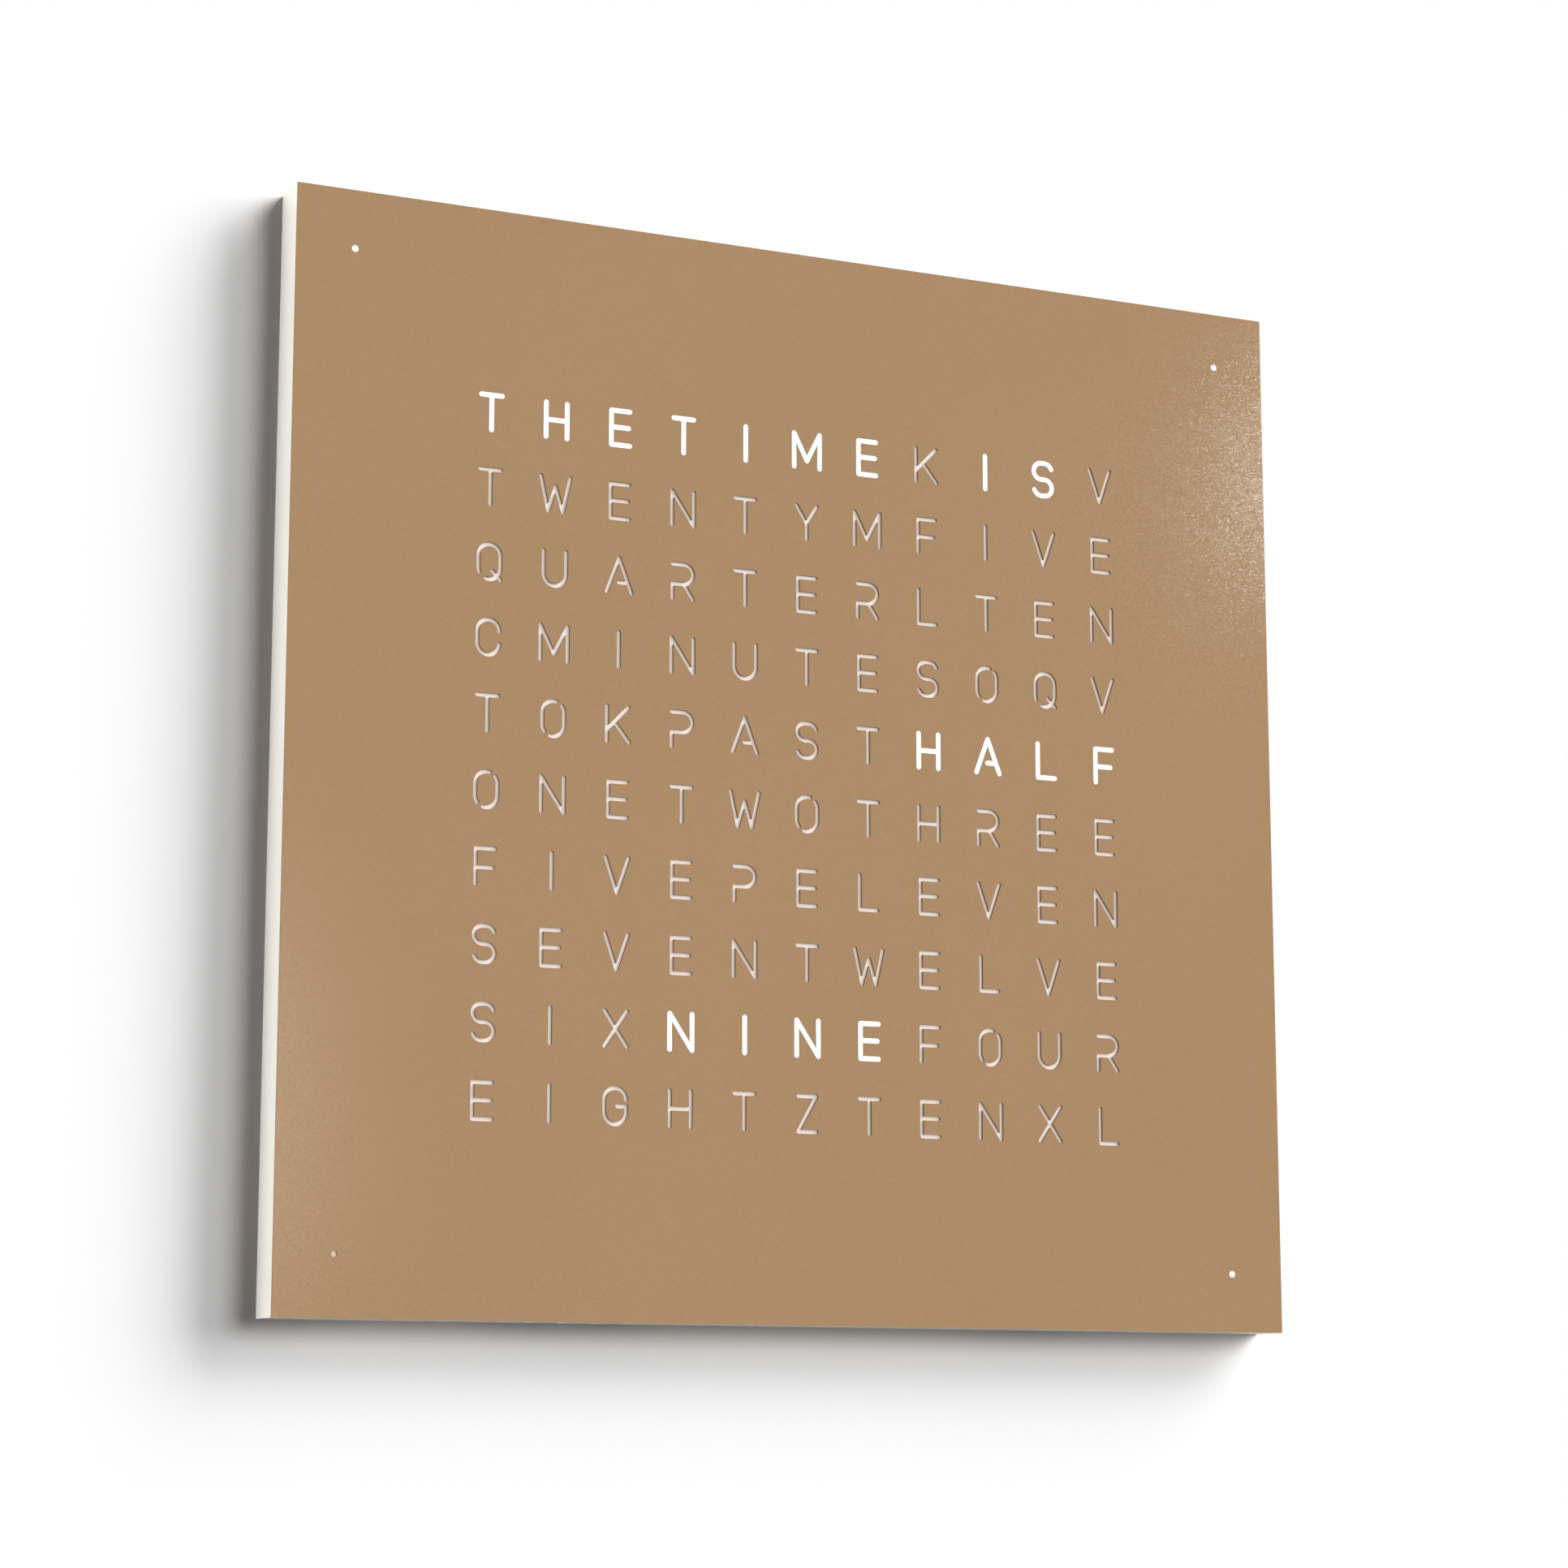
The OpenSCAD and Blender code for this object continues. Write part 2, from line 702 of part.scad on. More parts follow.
// The outline of a flat ribbon t thick, along a path
function ribbon_outline(path, t) = concat(
    [for (p = path) p + [t / 2, 0]],
    [for (i = [len(path) - 1:-1:0]) path[i] - [t / 2, 0]]);

module lamp_ribbon() {
    top = 2 - lamp_board_h / 2;
    end = control_z + control_h / 2 - 3;
    y0 = lamp_board_back + lamp_socket[1] / 2;
    y1 = control_front - lamp_socket[1] / 2;
    path = [[y0, top], [y0, top - 2], [y1, end + 3.5], [y1, end]];
    color("#B9BCC2") translate([lamp_socket_x - lamp_socket[0] / 2 + 1, 0, 0])
        rotate([90, 0, 90]) linear_extrude(lamp_socket[0] - 2) polygon(ribbon_outline(path, ribbon_t));
}

// Sockets of the ribbon from the button board to the control board, one on each
module button_ribbon_sockets() {
    color("#E9E6DA") {
        translate([button_socket_x, button_y, button_board_top + button_socket[1] / 2])
            cube([button_socket[0], button_socket[2], button_socket[1]], center = true);
        slab(button_socket[0], button_socket[2], control_front - button_socket[1], control_front,
            control_socket_x, control_z);
    }
}

module button_ribbon() {
    w = button_socket[1] - 1.4;
    x0 = button_socket_x + button_socket[0] / 2;
    x1 = control_socket_x - button_socket[0] / 2;
    z0 = button_board_top + button_socket[1] - 1.5;
    path = [[x0, z0], [x0 + 3, z0], [x1 - 3, control_z], [x1, control_z]];
    color("#B9BCC2") sheet(control_front - w - 0.7, control_front - 0.7)
        polygon(concat([for (p = path) p + [0, ribbon_t / 2]],
            [for (i = [len(path) - 1:-1:0]) path[i] - [0, ribbon_t / 2]]));
}

module button_board() {
    color("#1F5A3A") difference() {
        translate([button_board_x[0], button_y - button_board_y / 2, button_board_from])
            cube([button_board_x[1] - button_board_x[0], button_board_y, board_t]);
        for (x = button_posts)
            translate([x, button_y, button_board_from - 1])
                cylinder(h = board_t + 2, r = screw_r + hole_gap);
    }
}

module button_board_screws() {
    color("silver") for (x = button_posts)
        translate([x, button_y, button_board_top]) rotate([-90, 0, 0])
            pan_screw([0, 0], 0, board_t + button_screw_in);
}

// Push switches on the underside of the button board
module switch_housings() {
    color("#2B2B2D") for (i = [-1:1]) translate([button_x + i * button_pitch, button_y, switch_from])
        difference() {
            translate([-switch_w / 2, -switch_w / 2, 0]) cube([switch_w, switch_w, switch_h]);
            translate([0, 0, -1]) cylinder(h = plunger_l + 1, r = plunger_r + button_gap);
        }
}

// A button: a shank in the frame's lower wall, and a flange inside that keeps it in
module button(place) {
    color("#D9D7D0") translate([button_x + place * button_pitch, button_y, 0]) {
        translate([0, 0, button_from]) cylinder(h = button_top - button_from, r = button_d / 2);
        translate([0, 0, button_top - button_flange_t]) cylinder(h = button_flange_t, r = button_flange_r);
    }
}

// The actuator of a push switch, which follows its button
module plunger(place) {
    color("#C8C6C0") translate([button_x + place * button_pitch, button_y, button_top])
        cylinder(h = plunger_l, r = plunger_r);
}

module hour_button() { button(-1); }
module minute_button() { button(0); }
module mode_button() { button(1); }
module hour_plunger() { plunger(-1); }
module minute_plunger() { plunger(0); }
module mode_plunger() { plunger(1); }

module light_sensor() {
    color("#3A3030") translate([sensor_x, button_y, button_board_from - sensor_h / 2])
        cube([5, 4, sensor_h], center = true);
}

// A clear light guide that lets the sensor see the room's light
module sensor_window() {
    top = button_board_from - sensor_h - 0.5;
    color("#DDE6EA") translate([sensor_x, button_y, 0]) {
        translate([0, 0, button_from]) cylinder(h = top - button_from, r = window_r);
        translate([0, 0, floor_z]) cylinder(h = 1, r = window_r + 1);
    }
}

module lamp_board() {
    color("#E8E8E4") difference() {
        slab(lamp_board_w, lamp_board_h, lamp_board_front, lamp_board_back);
        holes(lamp_screws, screw_r, lamp_board_front, lamp_board_back);
        holes(pegs_at, peg_r, lamp_board_front, lamp_board_back);
    }
}

module lamp_board_spacers() {
    color("#C8B273") for (p = lamp_screws) spacer(p, lamp_board_back, panel_front);
}

module lamp_board_screws() {
    color("silver") for (p = lamp_screws) pan_screw(p, lamp_board_front, board_t + 4);
}

module lamp_driver_chips() {
    color("#222224") for (p = [[0, 0], [1, 1], [-1, 1], [1, -1], [-1, -1]] * driver_x)
        slab(driver_chip[0], driver_chip[2], lamp_board_back, lamp_board_back + driver_chip[1], p[0], p[1]);
}

module letter_lamps() {
    color("#F4F1DF") for (row = [0:rows - 1], col = [0:cols - 1])
        slab(lamp_l, lamp_w, lamp_board_front - lamp_h, lamp_board_front,
            (col - (cols - 1) / 2) * col_pitch, ((rows - 1) / 2 - row) * row_pitch);
}

// Walls that keep each letter's light apart from the next
module light_grid() {
    color("#F0F0EC") {
        sheet(diffuser_back, lamp_board_front) difference() {
            square([grid_w, grid_h], center = true);
            at_letters() square([col_pitch - cell_wall, row_pitch - cell_wall], center = true);
        }
        for (p = pegs_at) rod(peg_r, lamp_board_front - 2, lamp_board_back, p[0], p[1]);
    }
}

module at_corners() {
    for (x = [-1, 1], z = [-1, 1]) translate([x * corner_x, 0, z * corner_x]) children();
}

module corner_boards() {
    color("#E8E8E4") difference() {
        at_corners() slab(corner_board, corner_board, lamp_board_front, lamp_board_back);
        holes(corner_screws_at, screw_r, lamp_board_front, lamp_board_back);
    }
}

module corner_spacers() {
    color("#C8B273") for (p = corner_screws_at) spacer(p, lamp_board_back, panel_front);
}

module corner_screws() {
    color("silver") for (p = corner_screws_at) pan_screw(p, lamp_board_front, board_t + 4);
}

module corner_lamps() {
    color("#F4F1DF") at_corners() slab(lamp_l, lamp_w, lamp_board_front - lamp_h, lamp_board_front);
}

module corner_light_cells() {
    color("#F0F0EC") at_corners() difference() {
        rod(corner_cell_d / 2, diffuser_back, lamp_board_front);
        rod(corner_cell_bore / 2, diffuser_back - 1, lamp_board_front + 1);
    }
}

// Short flat leads from the corner boards to the corners of the lamp board
module corner_leads() {
    to = (corner_x - corner_board / 2 + lead_on_corner) * [1, 1];
    from = [min(lamp_board_w / 2 - lead_on_corner, to[0] - lead_reach),
        min(lamp_board_h / 2 - lead_on_corner, to[1] - lead_reach)];
    run = to - from;
    color("#B9BCC2") for (m = [0, 1], n = [0, 1]) mirror([m, 0, 0]) mirror([0, 0, n])
        sheet(lamp_board_back, lamp_board_back + lead_t)
            translate(from) rotate(atan2(run[1], run[0]))
                translate([0, -lead_w / 2]) square([norm(run), lead_w]);
}

// Opal acrylic over all the cells, just behind the cover
module diffuser_sheet() {
    color("#EDEAE4") slab(inner - 2 * fit_gap, inner - 2 * fit_gap, cover_back, diffuser_back);
}

body_frame();
back_panel();
back_panel_screws();
hanger_plates();
hanger_rivets();
cable_tray();
cable_tray_screws();
power_inlet();
power_inlet_pin();
power_leads();
control_board();
control_spacers();
control_screws();
microcontroller();
clock_chip();
clock_crystal();
coin_cell_holder();
coin_cell();
voltage_regulator();
power_inductor();
filter_capacitors();
lamp_ribbon_sockets();
lamp_ribbon();
button_ribbon_sockets();
button_ribbon();
button_board();
button_board_screws();
switch_housings();
hour_button();
minute_button();
mode_button();
hour_plunger();
minute_plunger();
mode_plunger();
light_sensor();
sensor_window();
lamp_board();
lamp_board_spacers();
lamp_board_screws();
lamp_driver_chips();
letter_lamps();
light_grid();
corner_boards();
corner_spacers();
corner_screws();
corner_lamps();
corner_light_cells();
corner_leads();
diffuser_sheet();
magnets();
front_cover();
cover_locating_pins();
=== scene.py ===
import math

import bmesh
import bpy
from mathutils import Matrix, Vector


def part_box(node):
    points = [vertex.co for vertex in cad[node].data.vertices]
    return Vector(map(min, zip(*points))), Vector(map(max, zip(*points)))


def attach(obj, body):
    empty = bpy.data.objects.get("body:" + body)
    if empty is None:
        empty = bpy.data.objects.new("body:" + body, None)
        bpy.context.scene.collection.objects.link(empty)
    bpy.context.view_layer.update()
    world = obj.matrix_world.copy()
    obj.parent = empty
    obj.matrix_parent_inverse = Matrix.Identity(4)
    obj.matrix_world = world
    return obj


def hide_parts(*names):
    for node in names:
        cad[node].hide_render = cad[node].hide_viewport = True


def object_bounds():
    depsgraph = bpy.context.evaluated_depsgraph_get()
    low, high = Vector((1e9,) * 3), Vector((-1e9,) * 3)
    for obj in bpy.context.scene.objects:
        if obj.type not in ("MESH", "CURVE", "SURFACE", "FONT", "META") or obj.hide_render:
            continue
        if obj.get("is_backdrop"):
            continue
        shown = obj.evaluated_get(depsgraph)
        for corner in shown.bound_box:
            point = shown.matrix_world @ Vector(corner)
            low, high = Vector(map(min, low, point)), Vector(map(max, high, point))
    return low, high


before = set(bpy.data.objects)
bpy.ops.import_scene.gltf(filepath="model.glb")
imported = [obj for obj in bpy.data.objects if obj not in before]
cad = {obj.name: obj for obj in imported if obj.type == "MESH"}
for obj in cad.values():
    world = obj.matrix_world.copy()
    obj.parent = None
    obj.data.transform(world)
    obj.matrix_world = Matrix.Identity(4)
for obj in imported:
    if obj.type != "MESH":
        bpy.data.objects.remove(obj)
cad_box = [list(corner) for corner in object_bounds()]
scene = bpy.context.scene
scene.view_settings.view_transform = "Standard"

# ---------------------------------------------------------------- camera
# A long lens below and to the left of the clock, looking up and to the right at its front.
camera = bpy.data.objects.new("camera", bpy.data.cameras.new("camera"))
scene.collection.objects.link(camera)
camera.location = (-0.65865, -1.41207, -0.27568)
camera.rotation_euler = Vector((0.41556, 0.89267, 0.17446)).to_track_quat("-Z", "Y").to_euler()
camera.data.lens = 86.7
camera.data.sensor_width = 36
scene.camera = camera


# ---------------------------------------------------------------- wall, floor and room light
# A smooth white wall that the clock hangs on, and a pale floor far below it. The wall is open
# behind the clock, a little short of its edges, and is seen from the front alone, so that the
# back of the clock can be seen.
def linear(code):
    """An sRGB hex colour as linear red, green, blue and alpha."""
    parts = [int(code[i:i + 2], 16) / 255 for i in (1, 3, 5)]
    return [p / 12.92 if p <= 0.04045 else ((p + 0.055) / 1.055) ** 2.4 for p in parts] + [1.0]


def add(tree, kind, sockets=None, **settings):
    """Adds a node. Each socket is given a value, or the output of another node to link it to."""
    made = tree.nodes.new("ShaderNode" + kind)
    for name, value in settings.items():
        setattr(made, name, value)
    for name, value in (sockets or {}).items():
        if isinstance(value, bpy.types.NodeSocket):
            tree.links.new(value, made.inputs[name])
        else:
            made.inputs[name].default_value = value
    return made


def empty_material(name):
    """A new material with its nodes cleared away, and its node tree."""
    material = bpy.data.materials.new(name)
    material.use_nodes = True
    material.node_tree.nodes.clear()
    return material, material.node_tree


def flat_stage(name, corners, faces, material):
    """A flat piece of the room, which isn't part of the clock."""
    mesh = bpy.data.meshes.new(name)
    mesh.from_pydata(corners, [], faces)
    mesh.materials.append(material)
    made = bpy.data.objects.new(name, mesh)
    scene.collection.objects.link(made)
    made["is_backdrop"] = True


WALL_Y = 0.0001
WALL_SIDE = 3.2
OPENING = 0.2235
FLOOR_Z = -1.8
CEILING_Z = 2.6
FLOOR_SIDE = 4
FLOOR_FRONT = -5

plaster, tree = empty_material("matt_white_wall_paint")
light_path = add(tree, "LightPath")
paint = add(tree, "BsdfDiffuse", {"Color": (0.97, 0.97, 0.97, 1.0)})
lift = add(tree, "Emission", {"Color": (0.03, 0.03, 0.03, 1.0),
                              "Strength": light_path.outputs["Is Camera Ray"]})
front_side = add(tree, "AddShader", {0: paint.outputs[0], 1: lift.outputs[0]})
clear_side = add(tree, "BsdfTransparent")
behind = add(tree, "NewGeometry").outputs["Backfacing"]
both_sides = add(tree, "MixShader", {0: behind, 1: front_side.outputs[0], 2: clear_side.outputs[0]})
add(tree, "OutputMaterial", {"Surface": both_sides.outputs[0]})

stone, tree = empty_material("pale_floor_stone")
slab_tone = add(tree, "BsdfDiffuse", {"Color": (0.09, 0.09, 0.09, 1.0)})
slab_lift = add(tree, "Emission", {"Color": (0.74, 0.74, 0.74, 1.0),
                                   "Strength": add(tree, "LightPath").outputs["Is Camera Ray"]})
slab_both = add(tree, "AddShader", {0: slab_tone.outputs[0], 1: slab_lift.outputs[0]})
add(tree, "OutputMaterial", {"Surface": slab_both.outputs[0]})

rim = [(-OPENING, -OPENING), (OPENING, -OPENING), (OPENING, OPENING), (-OPENING, OPENING)]
edge = [(-WALL_SIDE, FLOOR_Z), (WALL_SIDE, FLOOR_Z), (WALL_SIDE, CEILING_Z), (-WALL_SIDE, CEILING_Z)]
flat_stage("wall", [(x, WALL_Y, z) for x, z in rim + edge],
           [(4 + i, 4 + (i + 1) % 4, (i + 1) % 4, i) for i in range(4)], plaster)
slab = [(-FLOOR_SIDE, FLOOR_FRONT), (FLOOR_SIDE, FLOOR_FRONT), (FLOOR_SIDE, FLOOR_SIDE),
        (-FLOOR_SIDE, FLOOR_SIDE)]
flat_stage("floor", [(x, y, FLOOR_Z) for x, y in slab], [(0, 1, 2, 3)], stone)

# The room is white to the eye and in reflections, and gives the clock a weaker, even light.
AMBIENT = 0.07
world = bpy.data.worlds.new("white_room")
scene.world = world
world.use_nodes = True
world.node_tree.nodes.clear()
seen = add(world.node_tree, "LightPath")
mirrored = add(world.node_tree, "Math", {0: seen.outputs["Is Camera Ray"], 1: seen.outputs["Is Glossy Ray"]},
               operation="MAXIMUM")
either = add(world.node_tree, "Math", {0: mirrored.outputs[0], 1: seen.outputs["Is Transmission Ray"]},
             operation="MAXIMUM")
level = add(world.node_tree, "MapRange", {"Value": either.outputs[0], "To Min": AMBIENT, "To Max": 1.0})
sky = add(world.node_tree, "Background", {"Color": (1, 1, 1, 1), "Strength": level.outputs[0]})
add(world.node_tree, "OutputWorld", {"Surface": sky.outputs[0]})


def sun(name, towards, strength, spread, bounces=1024):
    """Soft light from far away, from the direction given, spread over so many degrees."""
    lamp = bpy.data.lights.new(name, "SUN")
    lamp.energy = strength
    lamp.angle = math.radians(spread)
    lamp.cycles.max_bounces = bounces
    made = bpy.data.objects.new(name, lamp)
    scene.collection.objects.link(made)
    made.rotation_euler = Vector(towards).to_track_quat("Z", "Y").to_euler()
    made.visible_glossy = False
    return made


def strip_light(name, place, aim, width, height, energy):
    """A tall oval lamp that is seen only in reflections."""
    lamp = bpy.data.lights.new(name, "AREA")
    lamp.shape = "ELLIPSE"
    lamp.size = width
    lamp.size_y = height
    lamp.energy = energy
    made = bpy.data.objects.new(name, lamp)
    scene.collection.objects.link(made)
    made.location = place
    made.rotation_euler = (Vector(place) - Vector(aim)).to_track_quat("Z", "Y").to_euler()
    made.visible_diffuse = False
    made.visible_camera = False


sun("key_from_right", (1.88, -1, 0.68), 2.14, 32)
key = sun("key_from_upper_right", (1.82, -1, 1.78), 2.48, 32)
sun("fill_from_front", (0.48, -1, 0.24), 1.22, 28)
sun("side_from_left", (-1, -0.004, -0.07), 2.95, 1, bounces=0)
sun("back_from_left", (0.25, 1, 0.2), 1.95, 20)
sun("back_from_right", (-0.8, 1, 0.2), 1.4, 30)
strip_light("sheen_right", (1.266, -1.56, 0.634), (0.22, -0.02, 0.15), 0.05, 0.2, 3.7)
strip_light("sheen_left", (0.223, -1.56, 0.01), (-0.22, -0.02, -0.14), 0.13, 0.36, 3.0)


# ---------------------------------------------------------------- frame
# A ring of fibreboard with 10 mm walls, sprayed with a warm white satin lacquer that keeps a
# fine orange peel. Everything else is screwed, glued or clipped to it.
MM = 0.001


def finish(tree, sockets):
    """The surface shader of a material, and its output."""
    shader = add(tree, "BsdfPrincipled", sockets)
    add(tree, "OutputMaterial", {"Surface": shader.outputs[0]})


def coated(name, colour, rough, grain, height, tone="#000000", cloud=0.05, stretch=(1, 1, 1), **more):
    """A sprayed, plated or moulded surface: grain of so many mm that stands so many mm high, a
    second tone in broad clouds, and gloss that varies with the grain. Stretch draws it out."""
    material, tree = empty_material(name)
    place = add(tree, "TexCoord").outputs["Object"]
    drawn = add(tree, "Mapping", {"Vector": place, "Scale": stretch})
    fine = add(tree, "TexNoise", {"Vector": drawn.outputs[0], "Scale": 1 / (grain * MM), "Detail": 3.0})
    broad = add(tree, "TexNoise", {"Vector": drawn.outputs[0], "Scale": 1 / (30 * grain * MM), "Detail": 4.0})
    bump = add(tree, "Bump", {"Strength": 0.6, "Distance": height * MM, "Height": fine.outputs["Fac"]})
    shade = add(tree, "MapRange", {"Value": broad.outputs["Fac"], "From Min": 0.3, "From Max": 0.7,
                                   "To Max": cloud})
    base = add(tree, "Mix", {"Factor": shade.outputs[0], "A": linear(colour), "B": linear(tone)},
               data_type="RGBA")
    gloss = add(tree, "MapRange", {"Value": fine.outputs["Fac"], "From Min": 0.3, "From Max": 0.7,
                                   "To Min": rough - 0.06, "To Max": rough + 0.06})
    finish(tree, {"Base Color": base.outputs["Result"], "Roughness": gloss.outputs[0],
                  "Normal": bump.outputs[0], **more})
    return material


def select_only(piece):
    """Makes one piece the only selected and active one."""
    bpy.ops.object.select_all(action="DESELECT")
    piece.select_set(True)
    bpy.context.view_layer.objects.active = piece


def apply_modifier(piece, kind, **settings):
    """Adds a modifier to a piece with its settings, and applies it."""
    select_only(piece)
    modifier = piece.modifiers.new(kind.lower(), kind)
    for setting, value in settings.items():
        setattr(modifier, setting, value)
    bpy.ops.object.modifier_apply(modifier=modifier.name)


def rounded(piece, width, segments=2):
    """Rounds every edge of a piece that turns by more than 30 degrees, by so many mm."""
    apply_modifier(piece, "BEVEL", width=width * MM, segments=segments, limit_method="ANGLE",
                   angle_limit=math.radians(30), use_clamp_overlap=True)
    bpy.ops.object.shade_smooth_by_angle(angle=math.radians(60))
    apply_modifier(piece, "WEIGHTED_NORMAL", keep_sharp=True, weight=100)


def recast(node, name, material):
    """A copy of a CAD node's shape with its loose triangles merged, to be worked further."""
    piece = bpy.data.objects.new(name, cad[node].data.copy())
    scene.collection.objects.link(piece)
    select_only(piece)
    bpy.ops.object.mode_set(mode="EDIT")
    bpy.ops.mesh.select_all(action="SELECT")
    bpy.ops.mesh.remove_doubles(threshold=0.001 * MM)
    bpy.ops.mesh.customdata_custom_splitnormals_clear()
    bpy.ops.mesh.dissolve_limited(angle_limit=math.radians(0.5))
    bpy.ops.object.mode_set(mode="OBJECT")
    piece.data.name = name
    piece.data.materials.clear()
    piece.data.materials.append(material)
    return piece


def place_on(piece, body, slot, *nodes):
    """Lets a piece ride on a body and stand for CAD nodes, which it hides. The slot is not used."""
    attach(piece, body)
    if nodes:
        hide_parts(*nodes)


# Light that it throws back doesn't reach the wall beside it, whose contact shadow stays deep. It
# goes without the steepest lamp, so that its top isn't lost against the white wall.
lacquer = coated("warm_white_satin_lacquer", "#E2E0D8", 0.38, 0.9, 0.004, tone="#CFCBC0", cloud=0.12)
ring = recast("body_frame", "frame_ring", lacquer)
rounded(ring, 0.4)
ring.visible_diffuse = False
shaded = bpy.data.collections.new("out_of_the_upper_key")
shaded.objects.link(ring)
key.light_linking.receiver_collection = shaded
shaded.collection_objects[0].light_linking.link_state = "EXCLUDE"
place_on(ring, "housing", "lacquered_fibreboard", "body_frame")

# ---------------------------------------------------------------- back panel
# A 3 mm aluminium sheet with a charcoal powder coat, let into the frame and held by eight
# countersunk screws of zinc-plated steel.
def wear(names, material):
    """Gives CAD nodes a material."""
    for name in names.split():
        cad[name].material_slots[0].material = material


# Structured powder coat: a fine leathery grain with dull peaks.
charcoal = coated("charcoal_powder_coat", "#47484A", 0.55, 0.5, 0.05, tone="#35363A", cloud=0.6)
wear("back_panel", charcoal)
# Bright zinc plate: bright, with cloudy passivation.
zinc = coated("bright_zinc_plate", "#CDCED0", 0.28, 0.6, 0.004, tone="#A6A9AF", cloud=0.7, Metallic=1.0)
wear("back_panel_screws cable_tray_screws lamp_board_screws corner_screws control_screws "
     "button_board_screws", zinc)

# ---------------------------------------------------------------- hanger plates
# Two keyhole plates stamped from zinc-plated strip, with the drawn grain of rolled steel, and
# their eight domed rivets.
rolled_zinc = coated("rolled_zinc_plated_strip", "#C6C7C9", 0.3, 0.35, 0.006, tone="#9DA0A5", cloud=0.7,
                     stretch=(0.12, 1, 1), Metallic=1.0)
plates = recast("hanger_plates", "keyhole_plates", rolled_zinc)
rounded(plates, 0.2)
place_on(plates, "housing", "zinc_plated_steel", "hanger_plates")
wear("hanger_rivets", zinc)

# ---------------------------------------------------------------- cable tray
# A moulded black box open to the wall, in which the plug and its cable lie, with the fine spark
# grain of its mould.
black_abs = coated("spark_grained_black_abs", "#232325", 0.52, 0.45, 0.04, tone="#2F2F32", cloud=0.6)
tray = recast("cable_tray", "plug_tray", black_abs)
rounded(tray, 0.3)
place_on(tray, "housing", "black_abs", "cable_tray")

# ---------------------------------------------------------------- power inlet and its leads
# A glossy barrel socket with a turned steel centre pin, and two soft red leads to the control
# board.
gloss_nylon = coated("glass_filled_black_nylon", "#1B1B1D", 0.3, 0.8, 0.008, tone="#303034", cloud=0.4)
inlet = recast("power_inlet", "barrel_socket", gloss_nylon)
rounded(inlet, 0.35)
place_on(inlet, "housing", "black_abs", "power_inlet")
# Turned stainless steel: fine rings round the pin, drawn out across its length.
turned_steel = coated("turned_stainless_steel", "#BDBEC0", 0.24, 0.25, 0.004, tone="#93959A", cloud=0.5,
                      stretch=(1, 0.1, 0.1), Metallic=1.0)
wear("power_inlet_pin", turned_steel)
# Soft PVC: a slight sheen and stretch marks along the lead.
lead_red = coated("soft_red_pvc", "#A8231D", 0.42, 0.5, 0.012, tone="#7E1712", cloud=0.5, stretch=(0.2, 1, 1))
wear("power_leads", lead_red)

# ---------------------------------------------------------------- control board
# Glass-fibre laminate under green solder mask, through which the copper tracks show as paler,
# slightly raised lines. It stands on four turned brass spacers.
def laminate(name, mask, track, pitch, patch, raised):
    """A circuit board: solder mask over tracks so many mm apart, raised by so many mm. They run
    across the board in some patches, of so many mm, and up it in others, and some are bare."""
    material, tree = empty_material(name)
    place = add(tree, "TexCoord").outputs["Object"]
    spot = add(tree, "SeparateXYZ", {"Vector": place})
    flat = add(tree, "CombineXYZ", {"X": spot.outputs["X"], "Y": spot.outputs["Z"]})
    patches = add(tree, "TexVoronoi", {"Vector": flat.outputs[0], "Scale": 1 / (patch * MM)},
                  distance="CHEBYCHEV")
    drawn = add(tree, "SeparateColor", {"Color": patches.outputs["Color"]}).outputs["Red"]
    scale = math.pi / (10 * pitch * MM)
    copper = 0.0
    for direction, chosen, share in (("X", "LESS_THAN", 0.35), ("Y", "GREATER_THAN", 0.5)):
        bands = add(tree, "TexWave", {"Vector": flat.outputs[0], "Scale": scale}, wave_type="BANDS",
                    bands_direction=direction)
        line = add(tree, "MapRange", {"Value": bands.outputs["Fac"], "From Min": 0.78, "From Max": 0.88})
        here = add(tree, "Math", {0: drawn, 1: share}, operation=chosen)
        both = add(tree, "Math", {0: line.outputs[0], 1: here.outputs[0], 2: copper},
                   operation="MULTIPLY_ADD")
        copper = both.outputs[0]
    weave = add(tree, "TexNoise", {"Vector": place, "Scale": 1 / (0.6 * MM), "Detail": 2.0})
    height = add(tree, "Bump", {"Strength": 0.7, "Distance": raised * MM, "Height": copper})
    base = add(tree, "Mix", {"Factor": copper, "A": linear(mask), "B": linear(track)}, data_type="RGBA")
    gloss = add(tree, "MapRange", {"Value": weave.outputs["Fac"], "To Min": 0.25, "To Max": 0.42})
    finish(tree, {"Base Color": base.outputs["Result"], "Roughness": gloss.outputs[0],
                  "Normal": height.outputs[0]})
    return material


wear("control_board button_board", laminate("green_solder_mask", "#1D5636", "#2F7A4C", 1.27, 7, 0.035))
# Turned brass: warm, with fine tool rings round each spacer.
brass = coated("turned_brass", "#D0B878", 0.27, 0.25, 0.004, tone="#A48B4C", cloud=0.5,
               stretch=(0.15, 1, 0.15), Metallic=1.0)
wear("lamp_board_spacers corner_spacers control_spacers", brass)


# ---------------------------------------------------------------- chips
# The microcontroller, the clock chip and five lamp drivers: black moulded bodies with sloping
# sides and a pressed dimple, on stepped legs of tinned copper that are soldered to the boards.
LEG_REACH = 1.0 * MM
LEG_RISE = 0.55 * MM
LEG_THICK = 0.16 * MM
LEG_HALF_WIDE = 0.13 * MM
LEG_FOOT = 0.45 * MM
STAND_OFF = 0.1 * MM
DIMPLE_IN = 1.1 * MM
DIMPLE_RADIUS = 0.35 * MM


